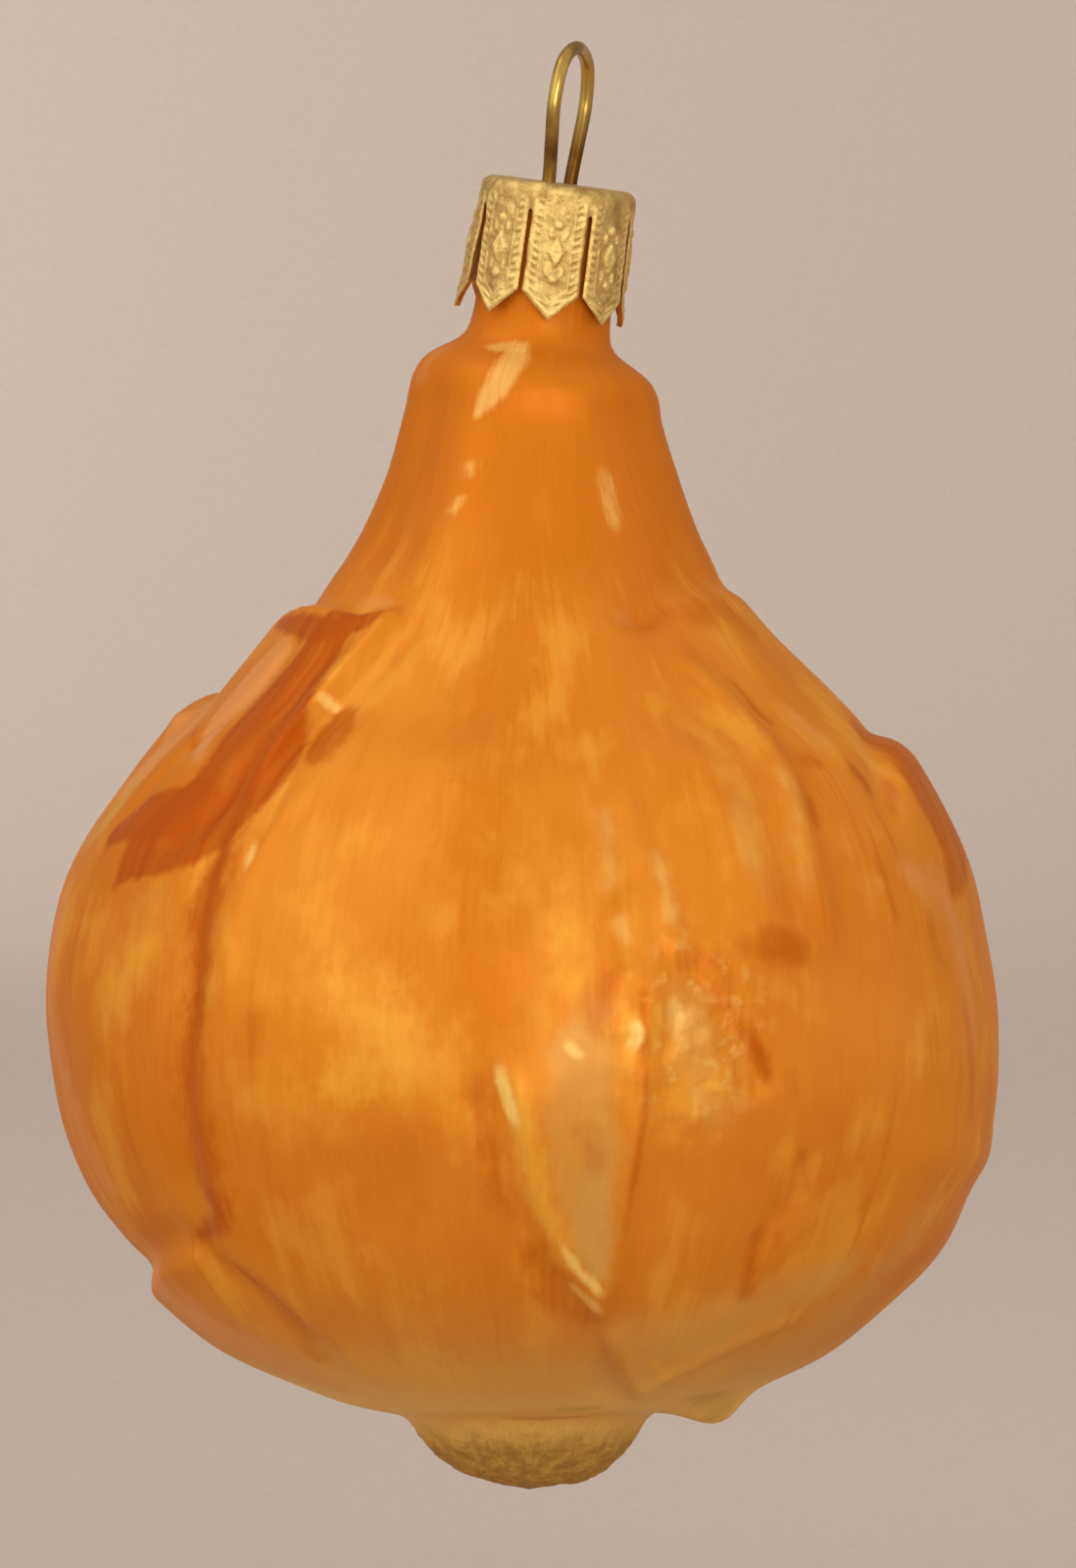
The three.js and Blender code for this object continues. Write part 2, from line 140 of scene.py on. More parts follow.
# Folds and creases: height, half width, path
FOLDS = {
    "front tear, right edge": (0.4, 0.8, [(14, 37), (13.5, 30), (12.8, 25), (12, 19), (11, 13)]),
    "right fold": (0.45, 1.3, [(30, 55.6), (37, 53), (40.5, 49.5), (39, 45.5), (38.5, 41), (39, 34)]),
    "right corner": (0.45, 1.8, [(50, 23.5), (72, 22.4), (92, 22), (112, 24)]),
    "crease in the left flap": (-0.5, 1.1, [(-44, 56), (-47, 52), (-45, 48.5), (-48, 44.5), (-55, 41.5)]),
    "outer crease in the left flap": (-0.4, 1.0, [(-60, 56), (-63, 52), (-66, 47.5), (-70, 43)]),
    "front right crease": (-0.35, 0.9, [(18, 36), (22, 33), (26, 29.5), (28, 26.5)]),
    "lower right crease": (-0.3, 1.0, [(36, 24), (35, 20.5), (31, 17), (29, 12.5)]),
    "back tear, right edge": (0.4, 0.8, [(195, 39), (196, 31), (195, 22), (193, 13)]),
    "crease in the back flap": (-0.45, 1.2, [(168, 54), (170, 49), (166, 44), (160, 40)]),
    "back left fold": (0.4, 1.2, [(-160, 52), (-163, 46), (-161, 39), (-163, 31)]),
    "left of two front ribs": (0.22, 0.7, [(8.5, 48), (9, 43), (9.5, 38), (9, 34)]),
    "right of two front ribs": (0.25, 0.7, [(13, 47), (14.5, 43), (16.5, 39), (18, 36)]),
    "gold band rib": (0.2, 1.2, [(25, 50), (27, 46), (29, 41), (30, 38)]),
    "rib under the left edge": (0.2, 0.6, [(-33, 47), (-35.5, 42), (-37, 37), (-37, 31)]),
    "V at the foot, left side": (0.3, 0.6, [(11, 12.8), (14.5, 10.7), (20, 8.8), (26, 7.8)]),
    "V at the foot, right side": (0.2, 0.7, [(22, 8.2), (30, 9.6), (39, 11.4), (48, 12.6)]),
}

# Swellings and hollows: centre angle and height, reach round and up, height
SWELLINGS = {
    "blister on the left": (-32, 49.4, 1.7, 2.1, 0.45),
    "blister on the right": (29.5, 37, 2.3, 1.3, 0.35),
    "skin tip below": (72, 6.0, 3.6, 2.0, 1.5),
    "left root of the neck": (-70, 60, 4, 3, 0.4),
    "dimple below the collar": (30, 57.2, 2.4, 1.3, -0.5),
    "blister on the back": (152, 34, 2.6, 1.6, 0.4),
    "fuller left side": (-90, 38, 26, 8, 0.75),
    "flatter right side": (90, 35, 26, 10, -0.7),
    "fuller right side of the neck": (90, 71, 7, 7, 0.4),
    "fuller low on the right": (90, 16, 20, 4.5, 0.5),
    "flatter low on the left": (-90, 16, 20, 3, -0.3),
}

# Share of a path over which it dies away at each end
PATH_END = 0.14

# The valley beside a skin edge: its width, and how many widths to the path's right its middle lies
VALLEY_WIDTH = 1.2
VALLEY_SHIFT = 1.1

# Waves round the neck: how many, depth, and the angle of a crest
NECK_WAVES = [(6, 0.2, 32), (4, 0.15, -12)]

# Bumps on the root knob: how many round it, depth, and rings per mm up it
ROOT_STUBS = (13, 0.12, 0.3)

# Heights at which the neck's waves and the knob's bumps start, are full, begin to fade and are gone
NECK_REACH = (54, 62, 71, 75)
KNOB_REACH = (0.3, 1.5, 3.6, 5)

# Small dents: noise per mm for broad, small and fine ones, and the angle and height of crumpled skin
DENT_SCALES = (0.13, 0.75, 1.7)
CRUMPLED_AT = (18, 30)

# Paint strokes on the lacquer. Each has its strength, the softness of its edge, and a path of
# (angle, height, half width). The paints lie over each other in this order. Some strokes paint
# light and shade instead, as said where they stand.
STROKES = {
    "silver": [
        # Worn patch in the front tear, crumpled skin beside it, and the band above the right blister
        (0.6, 0.9, [(7.5, 32.6, 0.8), (6, 30, 1.9), (6, 27, 2.1), (6.5, 24, 2.3), (7, 21, 1.9),
            (8, 18.5, 1.2), (9.5, 16, 0.5)]),
        (0.7, 0.6, [(7.5, 22, 0.8), (8, 19.5, 1.2), (9, 16.6, 0.7)]),
        (0.35, 1.2, [(18, 33, 1), (20, 29, 1.4), (22, 26, 1)]),
        (0.3, 0.6, [(30.5, 46, 0.6), (29.5, 44.5, 0.8), (29, 42.5, 0.7), (29.5, 39.6, 0.2)]),
        # Thin lacquer low on the right
        (0.6, 1.5, [(15, 12, 1.2), (24, 11.5, 2.2), (36, 13, 2), (48, 15.5, 1.6)]),
        (0.4, 2, [(48, 9.5, 1.2), (57, 12.5, 2), (64, 18, 2)]),
        # Back
        (0.75, 1, [(184, 34, 1.4), (185, 28, 2.2), (186, 22, 1.8), (190, 16.5, 0.9)]),
    ],
    "rose": [
        # Left flap and the hump behind it
        (0.8, 0.6, [(-66, 54.6, 1.2), (-68, 52.6, 1.9), (-65, 50.4, 1.4), (-58, 47.8, 0.4)]),
        (0.7, 0.6, [(-86, 51.4, 0.9), (-80, 49.8, 1.8), (-76, 47.8, 1.8), (-77, 46, 1.2)]),
        (0.4, 0.5, [(-56, 58.2, 0.4), (-46, 58.2, 0.5), (-38, 58, 0.4)]),
        # Left and lower left rim: a pinkish painted sheen, the floor's light reflected off the rim
        (0.5, 1.5, [(-80, 38, 1), (-78, 30, 1.2), (-73, 25, 1.2), (-70, 21, 1.2)]),
        (0.85, 2, [(-70, 14, 1.8), (-64, 12, 2.2), (-54, 9.6, 1.6), (-47, 8, 0.8)]),
        # Right shoulder and rim
        (0.25, 0.5, [(68, 50, 0.6), (63.5, 48, 0.5), (61.5, 46.4, 0.4), (59.5, 44, 0.5)]),
        (0.4, 0.6, [(53, 52, 0.5), (54, 50, 0.6), (57, 48.6, 0.5)]),
        (0.5, 1.5, [(58, 41, 1.1), (67, 38, 1.4), (67, 35, 1.1), (67, 30, 0.9)]),
        # Neck
        (0.4, 0.8, [(-75, 74.5, 0.6), (-74, 73, 0.6), (-71.5, 71.5, 0.5)]),
        (0.3, 0.8, [(24.5, 58, 0.4), (24, 56.6, 0.4)]),
    ],
    "amber": [
        # Plain column up the front
        (0.85, 2.5, [(-7, 53, 1.2), (-7, 47, 1.8), (-7, 42, 1.9), (-6, 37, 1.8), (-4.5, 32, 1.2)]),
        (0.5, 3, [(-13, 25, 1.5), (-17, 21.5, 1.8), (-23, 20, 1.4)]),
        (0.4, 1.5, [(-37, 20, 0.9), (-40, 18.5, 0.7)]),
        (0.35, 2, [(-32, 43.6, 0.8), (-26, 45, 1.2), (-21, 46, 0.8)]),
        # Neck
        (0.5, 1, [(-59, 76.2, 1.1), (-1, 75.8, 0.8), (62, 76, 1.2)]),
        # Painted shade down the right side of the neck
        (0.4, 1.5, [(65, 72.6, 0.9), (64, 69.4, 1.1), (61, 66.8, 0.8)]),
        # Painted shade on the left side of the neck
        (0.45, 1, [(-53, 73.6, 0.9), (-38, 72.6, 0.7)]),
        (0.5, 1, [(2, 73.4, 0.6), (1, 72, 0.5), (-2, 71, 0.4)]),
        # Back
        (0.5, 2.5, [(120, 52, 1.5), (122, 44, 2), (118, 36, 1.5)]),
        (0.5, 2.5, [(-146, 24, 1.5), (-150, 16, 2), (-160, 11, 1.5)]),
    ],
    "gold": [
        # Front
        (0.85, 2.5, [(-23, 34, 0.9), (-18, 32, 2), (-16, 30, 2.2), (-21, 28.6, 1.4)]),
        (0.4, 2.5, [(-35, 27.4, 1), (-30, 26.8, 1.3), (-24, 26, 0.9)]),
        (0.65, 1.5, [(5, 40, 0.5), (4, 37.5, 0.9), (4.5, 35.4, 0.9), (6, 34, 0.5)]),
        # Gold along the tear's left edge and by its right edge: painted highlight and glints on those
        # raised edges, over thin lacquer
        (0.85, 0.6, [(-2, 29.8, 0.3), (-1.2, 27.6, 0.6), (-0.5, 25.2, 0.75), (0.5, 22.6, 0.75),
            (1.5, 20.4, 0.65), (3.5, 18.4, 0.5), (6.5, 16.6, 0.4)]),
        (0.8, 0.4, [(11, 33, 0.3), (11.8, 31.6, 0.6), (11.8, 30, 0.4), (11.4, 28.6, 0.3)]),
        (0.8, 0.4, [(14.6, 33.4, 0.3), (15, 32.2, 0.3), (14.6, 31, 0.4), (14, 29.4, 0.3)]),
        (0.6, 0.25, [(20, 27, 0.2), (21.5, 28, 0.3), (23.5, 27.4, 0.2), (24.5, 28, 0.2)]),
        # Left flap and the belly below it
        # Painted highlight: the light diagonal band on the belly below the flap
        (0.5, 1.2, [(-25, 55.6, 0.5), (-27, 54.2, 0.8), (-29, 52.4, 0.8)]),
        (0.5, 0.4, [(-54.5, 49.6, 0.3), (-50, 48.2, 0.5), (-48.5, 46.8, 0.4)]),
        (0.45, 0.3, [(-50, 46.8, 0.2), (-51, 46, 0.3), (-51, 45.2, 0.3)]),
        (0.5, 0.6, [(-41, 52.4, 0.4), (-40, 53.4, 0.4), (-39.5, 54.4, 0.3)]),
        # Painted highlight on the raised skin edge beside the long left groove, in this stroke and the
        # next
        (0.6, 0.4, [(-39, 49.5, 0.2), (-36.5, 46.2, 0.2), (-36.5, 44.6, 0.3), (-36.5, 43, 0.3)]),
        (0.45, 0.5, [(-38, 38.6, 0.3), (-37.5, 37, 0.4), (-37.5, 35.8, 0.4)]),
        (0.45, 2, [(-52.5, 39.4, 1), (-51.5, 36.5, 1.3), (-57, 34, 1.3), (-59, 31.4, 1)]),
        (0.4, 0.6, [(-34, 21.4, 0.3), (-34.5, 19, 0.5), (-35.5, 16.5, 0.3), (-36.5, 14, 0.3),
            (-37.5, 11.4, 0.3), (-37.5, 9.2, 0.2)]),
        # Along the bottom
        (0.35, 2, [(-32, 9.5, 1.4), (-12, 8.2, 1.8), (8, 8, 1.4)]),
        # Right
        (0.25, 1, [(30.5, 51.6, 0.6), (35, 50.6, 0.7), (39, 49.4, 0.6), (42, 48.8, 0.5)]),
        (0.45, 0.3, [(19.5, 10.8, 0.2), (25, 9.4, 0.3), (33, 8.4, 0.3)]),
        (0.45, 0.3, [(37, 7.8, 0.2), (39, 8.6, 0.3), (40, 9.8, 0.1)]),
        # Back and sides
        (0.65, 2.2, [(150, 28, 2), (146, 22, 2.6)]),
        (0.6, 2.2, [(-158, 40, 2), (-160, 32, 3), (-156, 25, 2)]),
        (0.5, 2.2, [(105, 38, 2), (103, 30, 3)]),
        (0.5, 2.2, [(-100, 36, 2.4), (-102, 28, 3)]),
        (0.7, 0.5, [(176.5, 29, 0.3), (178, 25, 0.6), (181, 20.6, 0.5), (186, 16.8, 0.3)]),
    ],
    "olive": [
        (0.6, 0.5, [(-82, 42.6, 0.7), (-78, 43.4, 1), (-76, 44.8, 1), (-76.5, 46.2, 0.6)]),
        (0.5, 0.5, [(-92, 51.2, 0.5), (-84, 51.4, 0.5)]),
        (0.6, 0.8, [(46, 6.8, 0.6), (56, 6.6, 1.2), (66, 6.4, 1)]),
        (0.5, 0.5, [(6, 6.1, 0.5), (22, 6.3, 0.5)]),
    ],
    "umber": [
        # Left flap
        (0.9, 0.35, [(-82, 56.2, 0.4), (-66, 56.2, 0.9), (-52, 55.8, 1), (-42, 56.2, 0.8),
            (-37.5, 56.8, 0.3)]),
        (0.9, 0.4, [(-49, 56, 1.8), (-50, 53, 2.5), (-48.5, 50, 3.3), (-46, 47.5, 4),
            (-48, 45.2, 4), (-55, 43.2, 3.2), (-60, 41.4, 1.7), (-62, 40, 0.4)]),
        (0.85, 0.4, [(-52, 45, 2.2), (-60, 44.4, 1.9), (-66, 43.8, 1.6), (-69, 42.8, 0.8)]),
        (0.4, 0.3, [(-73, 50, 0.2), (-63, 48.4, 0.3)]),
        (0.7, 0.5, [(-34.3, 50.9, 1.1), (-33.6, 49.9, 1.6), (-33, 48.6, 1.3)]),
        # Long left edge
        (0.8, 1, [(-42, 43.4, 0.7), (-42, 41, 1.4), (-42.5, 39, 1.5), (-42.5, 37, 1.2),
            (-42, 35, 0.9), (-42, 32.4, 0.7)]),
        (0.65, 1.2, [(-42.5, 32, 1), (-43, 28, 1.3), (-42.5, 24, 1.4), (-43, 20.6, 1.2)]),
        (0.75, 0.6, [(-43, 20.6, 0.6), (-43.5, 19.2, 0.8), (-46.5, 18.2, 0.6), (-51, 17.4, 0.5)]),
        # Painted shade: the dark band on the lower left, beside the skin edge that overlaps it
        (0.35, 0.9, [(-51, 17.2, 0.5), (-46.5, 15.8, 0.6), (-42, 14.4, 0.8), (-40.5, 12.2, 0.9),
            (-41, 9.6, 0.6)]),
        (0.3, 0.8, [(-33, 33, 0.3), (-33, 31, 0.4), (-33.5, 29, 0.3)]),
        # Front tear
        (0.3, 0.8, [(5, 25.8, 0.5), (7, 24, 0.6), (8.5, 21.8, 0.4)]),
        # Dark band left of and below the tear's raised edge: umber paint, deepened as painted shade of
        # the valley beside the edge
        (0.5, 1, [(-6.5, 29.8, 0.5), (-5.5, 27, 0.6), (-4.5, 24, 0.5), (-3.5, 20.8, 0.5),
            (-1, 18.2, 0.5)]),
        (0.55, 0.9, [(0.5, 17.2, 0.5), (2, 15.6, 0.8), (4, 14, 0.9), (7.5, 12.8, 0.5)]),
        (0.5, 0.8, [(10, 35, 0.6), (8.5, 33.8, 0.9), (7.5, 32.2, 0.8), (8, 31.4, 0.5)]),
        (0.6, 0.3, [(13.5, 36, 0.2), (13.3, 33, 0.2), (13.3, 30, 0.3), (13.5, 27, 0.25),
            (12.6, 22, 0.2), (11.6, 17, 0.2)]),
        # Right front
        (0.4, 0.6, [(19, 35.8, 0.6), (22, 35, 0.9), (23.2, 33.5, 0.9), (24.2, 32.2, 0.6)]),
        (0.75, 0.4, [(24, 32, 0.4), (26, 31.2, 0.6), (27.5, 30, 0.6), (28.5, 28.8, 0.45),
            (29.5, 27.2, 0.2)]),
        (0.3, 0.7, [(32, 29, 0.3), (33, 26.8, 0.4)]),
        (0.3, 0.5, [(16, 26.4, 0.3), (18, 25.4, 0.5), (20.5, 25, 0.3)]),
        (0.45, 0.5, [(26.5, 36.6, 0.6), (30, 36.6, 1.2), (34, 36.2, 0.9)]),
        # Collar and right shoulder
        # Painted shade in the dimple below the collar
        (0.5, 0.8, [(29, 56.6, 0.5), (34.5, 57.4, 0.6), (41.5, 57.8, 0.5)]),
        (0.35, 1, [(45, 57.2, 0.9), (58, 57.8, 1.1), (66, 56.6, 1.1)]),
        (0.3, 0.4, [(33, 53.4, 0.1), (34, 52.6, 0.2), (35.5, 51.8, 0.1)]),
        (0.55, 0.4, [(43, 53.6, 0.2), (44.5, 52.6, 0.3), (45, 51, 0.4), (46.5, 50, 0.2)]),
        (0.4, 0.5, [(43.5, 48, 0.4), (47.5, 48, 0.6), (48.5, 47.4, 0.3)]),
        (0.45, 0.6, [(42, 46.2, 0.5), (41.5, 44.8, 0.5), (41, 43.4, 0.3)]),
        (0.55, 0.4, [(56, 48.2, 0.4), (55.5, 47.4, 0.5), (56.5, 46.6, 0.5), (56, 45.6, 0.3)]),
        (0.4, 0.4, [(63.5, 47, 0.3), (60.5, 45.6, 0.5), (58, 44.2, 0.3)]),
        (0.7, 0.7, [(77, 49, 2.4), (77, 46.6, 4.8), (75, 44, 4.6), (73, 41.8, 2.8), (69, 39.6, 0.6)]),
        # Right side, down to the foot
        (0.4, 0.7, [(65.5, 34, 0.4), (66, 30.6, 0.4), (67, 27.4, 0.5), (68, 24, 0.5)]),
        (0.25, 0.7, [(56.5, 32.8, 0.4), (57, 29.6, 0.4), (57.5, 26.4, 0.4)]),
        (0.3, 0.5, [(50.5, 42.6, 0.2), (51, 40.6, 0.3), (52, 37, 0.3)]),
        (0.3, 0.5, [(59.5, 39, 0.3), (60, 36.4, 0.4), (62, 34, 0.4)]),
        (0.35, 0.6, [(34, 24, 0.4), (36, 22.4, 0.4), (38, 20, 0.3)]),
        (0.25, 0.5, [(43.5, 25, 0.2), (45, 22, 0.3)]),
        (0.5, 0.5, [(31.5, 19.4, 0.3), (31.5, 17.8, 0.4), (32, 16, 0.4), (33, 14.6, 0.5),
            (33, 13.4, 0.4)]),
        (0.3, 0.4, [(34.5, 18.6, 0.2), (35, 17, 0.3)]),
        (0.45, 0.4, [(-15, 5.3, 0.2), (5, 5.2, 0.35), (30, 5.4, 0.2)]),
        # Back and sides
        (0.7, 0.5, [(188, 50.6, 0.6), (176, 53, 1.2), (162, 53.6, 1.3), (148, 51.6, 0.8)]),
        (0.7, 0.6, [(172, 51, 1), (168, 46, 1.8), (160, 42, 1.6), (156, 39, 0.6)]),
        (0.55, 0.6, [(130, 50, 0.4), (130, 40, 0.6), (128, 29, 0.5), (131, 20, 0.6), (139, 13, 0.6)]),
        (0.55, 0.6, [(-119, 11, 0.5), (-127, 18, 0.6), (-132, 26, 0.5), (-135, 35, 0.6),
            (-134, 44, 0.4)]),
        (0.6, 0.8, [(172, 29, 0.4), (174, 22, 0.7), (180, 16, 0.8), (188, 12, 0.5)]),
        (0.65, 0.35, [(150, 34, 0.9), (154, 34, 1.1)]),
        (0.4, 0.8, [(100, 44, 0.8), (104, 40, 0.8)]),
        (0.5, 0.8, [(-106, 49, 1.2), (-112, 46, 1)]),
    ],
    "pale": [
        # Neck
        (0.5, 0.3, [(-41, 74.6, 0.2), (-28, 74.6, 0.45), (-15, 74.8, 0.5), (-3, 74.9, 0.3)]),
        (0.55, 0.3, [(-13, 74.2, 0.9), (-15, 73, 0.85), (-18, 72, 0.7), (-22, 71, 0.5),
            (-25, 70.2, 0.3)]),
        (0.4, 0.5, [(-24, 67.4, 0.3), (-23.5, 66, 0.3)]),
        (0.5, 0.4, [(-25, 65, 0.3), (-29, 63.6, 0.25)]),
        (0.45, 0.5, [(31, 67.2, 0.3), (32, 65.6, 0.4), (31.5, 64, 0.4), (32, 62.4, 0.3)]),
        # Left flap
        (0.6, 0.3, [(-41, 51.6, 0.3), (-38, 51.6, 0.35), (-36, 51.3, 0.2)]),
        # Painted highlight on the raised skin edge beside the long left groove
        (0.75, 0.3, [(-37, 43, 0.2), (-37, 42, 0.3), (-37, 40.8, 0.2)]),
        # Front tear: painted highlight along its raised left edge, and painted glints on its right edge
        # and the crinkles beside it, over thin lacquer
        (1, 0.25, [(-3.6, 29.6, 0.25), (-3, 28.2, 0.4), (-2.4, 27.2, 0.4), (-1.9, 26.2, 0.35),
            (-1.4, 25, 0.2)]),
        (0.8, 0.25, [(3.5, 18.6, 0.2), (5, 17.4, 0.25), (7, 16.2, 0.3), (9, 15.4, 0.25),
            (10.5, 14.6, 0.2)]),
        (0.5, 0.3, [(5.5, 15.6, 0.2), (7, 14.8, 0.3), (9, 14.2, 0.3), (10.5, 13.4, 0.2)]),
        (0.75, 0.3, [(4, 30.8, 0.2), (5, 30.2, 0.3), (6.5, 29.6, 0.2)]),
        (0.95, 0.25, [(12, 32.2, 0.2), (12.4, 31, 0.35), (11.5, 30, 0.2)]),
        (0.55, 0.5, [(17, 33.8, 0.2), (17, 33, 0.3), (17.5, 31.6, 0.3), (17, 30.6, 0.3)]),
        (0.3, 0.7, [(18.5, 33.2, 0.4), (19.5, 31.6, 0.5), (21.5, 30.6, 0.4)]),
        # Ribs above it
        (0.3, 0.9, [(10, 46, 0.3), (10, 43.6, 0.5), (10, 41.2, 0.6), (10.5, 39.4, 0.5)]),
        (0.4, 0.6, [(10.5, 38.8, 0.3), (11.5, 37.6, 0.3), (12, 36.4, 0.2)]),
        (0.45, 0.6, [(16, 43, 0.2), (16.5, 41.8, 0.3), (17, 40.2, 0.4), (17, 38.8, 0.4),
            (17.5, 37.4, 0.3)]),
        # Right fold
        (0.28, 0.9, [(41, 48.4, 0.4), (39, 47, 0.4), (38.5, 45, 0.4), (37.5, 43.2, 0.4),
            (36.5, 41.4, 0.3), (36, 38.6, 0.3)]),
        # Back and sides
        (0.85, 0.25, [(174.6, 31, 0.2), (175.6, 27, 0.4), (178.4, 21.8, 0.3), (184.6, 16.2, 0.4),
            (191, 12.8, 0.2)]),
        (0.5, 0.5, [(-147, 46, 0.2), (-149, 41, 0.5), (-148, 36, 0.2)]),
    ],
}

# A stroke whose half width stays under the first fades out at each end, over this share of its length
FAINT_HALF = 0.8
STROKE_END = 0.22

# How far beyond its own reach a stroke keeps its coat free of others
STROKE_ROOM = 1

# How much closer together than on average the faces stand at the front
FRONT_FINENESS = 0.2

# The skin attribute lies on a cylinder of this radius, with the length up the outline as its height.
# The middle of the crumpled skin is a point on it, with that height halved.
SKIN_RADIUS = 20
CRUMPLE = (6.8, -18.8, 24.2)


def colour(red, green, blue):
    """A screen colour out of 255, in linear light."""
    parts = [part / 255 for part in (red, green, blue)]
    return [part / 12.92 if part <= 0.04045 else ((part + 0.055) / 1.055) ** 2.4 for part in parts]


def colour_setting(name, description, *screen):
    """A colour that a user can change, given out of 255."""
    return bpy.props.FloatVectorProperty(
        name=name, description=description, default=colour(*screen), subtype="COLOR", size=3,
        min=0, max=1)


def length_setting(name, description, metres):
    """A length that a user can change."""
    return bpy.props.FloatProperty(
        name=name, description=description, default=metres, unit="LENGTH", precision=5)


class OnionGlass(bpy.types.PropertyGroup):
    """Fineness and lacquer of the glass."""

    steps: bpy.props.IntProperty(name="Steps", description="Faces round the glass", default=304, min=24)
    rows: bpy.props.IntProperty(name="Rows", description="Faces up the outside", default=280, min=24)
    orange: colour_setting("Orange", "Lacquer over most of the onion", 224, 136, 36)
    # Amber is also painted shade on both sides of the neck
    amber: colour_setting("Amber", "Deeper lacquer where it has pooled", 212, 118, 22)
    # Some umber strokes are painted shade, in a dimple, a valley and beside skin edges, as noted at each
    umber: colour_setting("Umber", "Brushed dark strokes", 186, 81, 1)
    # Gold also paints highlights on raised edges and a light band below the left flap
    gold: colour_setting("Gold", "Thin lacquer over the silvering", 240, 170, 58)
    # Pale also paints highlights and glints on raised edges and crinkles, and lightens the bottom
    pale: colour_setting("Pale", "Flecks with hardly any lacquer", 252, 206, 112)
    silver: colour_setting("Silver", "Grey silvering seen through a worn patch", 218, 162, 82)
    # Rose also paints the pinkish sheen on the left and lower left rim
    rose: colour_setting("Rose", "Pinkish skins on the left", 232, 156, 94)
    olive: colour_setting("Olive", "Green shade on the root and the skin tips", 206, 160, 78)
    root: colour_setting("Root", "Dark stubble of the root", 176, 134, 62)
    roughness: bpy.props.FloatProperty(
        name="Roughness", description="Roughness of the lacquer", default=0.48, subtype="FACTOR",
        min=0, max=1)


class OnionCap(bpy.types.PropertyGroup):
    """Sizes and finish of the stamped cap."""

    radius: length_setting("Radius", "Outer radius", 5.1 * MM)
    roll: length_setting("Rolled edge", "Rounding of the top edge", 0.7 * MM)
    slit_top: length_setting("Slit top", "Where the slits start, below the top", 1.7 * MM)
    shoulder: length_setting("Shoulder", "Where a tab's point starts, below the top", 7.1 * MM)
    tip: length_setting("Tip", "End of a tab, below the top", 8.8 * MM)
    gilt: colour_setting("Gilt", "Gold lacquer on the sheet", 242, 208, 130)
    tarnish: colour_setting("Tarnish", "Dull gold in the recesses", 150, 108, 48)


class OnionWire(bpy.types.PropertyGroup):
    """Finish of the wire."""

    radius: length_setting("Radius", "Radius of the wire", WIRE_RADIUS * MM)
    brass: colour_setting("Brass", "Bright brass", 205, 170, 88)
    stain: colour_setting("Stain", "Brown stain near the cap", 104, 68, 26)


class OnionStage(bpy.types.PropertyGroup):
    """The floor, lights and camera."""

    paper: colour_setting("Paper", "Floor and backdrop", 204, 190, 180)
    clearance: length_setting("Clearance", "Air between the root and the floor", 12 * MM)
    distance: length_setting("Distance", "From the camera to the onion", 0.7)
    tilt: bpy.props.FloatProperty(
        name="Tilt", description="How far the camera looks down", default=math.radians(1),
        subtype="ANGLE")
    view_height: length_setting("View height", "Height of the picture at the onion", 0.1027)


# Lines and relief

def smooth_line(points, per_span):
    """Samples of a smooth curve through points, with centripetal spacing and no overshoot."""
    points = np.array(points, float)
    padded = np.vstack([2 * points[0] - points[1], points, 2 * points[-1] - points[-2]])
    share = np.linspace(0, 1, per_span, endpoint=False)[:, None]
    spans = []
    for a, b, c, d in zip(padded[:-3], padded[1:-2], padded[2:-1], padded[3:]):
        pairs = ((a, b), (b, c), (c, d))
        first, middle, last = (max(np.linalg.norm(q - p), 1e-9) ** 0.5 for p, q in pairs)
        leave = ((b - a) / first - (c - a) / (first + middle) + (c - b) / middle) * middle
        arrive = ((c - b) / middle - (d - b) / (middle + last) + (d - c) / last) * middle
        spans.append(b + leave * share + (3 * (c - b) - 2 * leave - arrive) * share**2
                     + (2 * (b - c) + leave + arrive) * share**3)
    return np.vstack([*spans, points[-1:]])


FINE_OUTLINE = smooth_line(OUTLINE, 60)
OUTLINE_LENGTH = np.concatenate([[0], np.cumsum(np.linalg.norm(np.diff(FINE_OUTLINE, axis=0), axis=1))])


def outline_at(lengths):
    """Radius, height and outward direction where the outline has these lengths."""
    place = np.stack([np.interp(lengths, OUTLINE_LENGTH, FINE_OUTLINE[:, k]) for k in (0, 1)], axis=1)
    slope = np.gradient(FINE_OUTLINE, OUTLINE_LENGTH, axis=0)
    along = np.stack([np.interp(lengths, OUTLINE_LENGTH, slope[:, k]) for k in (0, 1)], axis=1)
    along /= np.linalg.norm(along, axis=1)[:, None]
    return place, np.stack([along[:, 1], -along[:, 0]], axis=1)


def length_at(height):
    """Length up the outline at a height."""
    return float(np.interp(height, FINE_OUTLINE[:, 1], OUTLINE_LENGTH))


def around(angle, spots):
    """Distance round the onion from the spots to an angle, the short way."""
    return np.radians((angle - spots["angle"] + 180) % 360 - 180) * spots["r"]


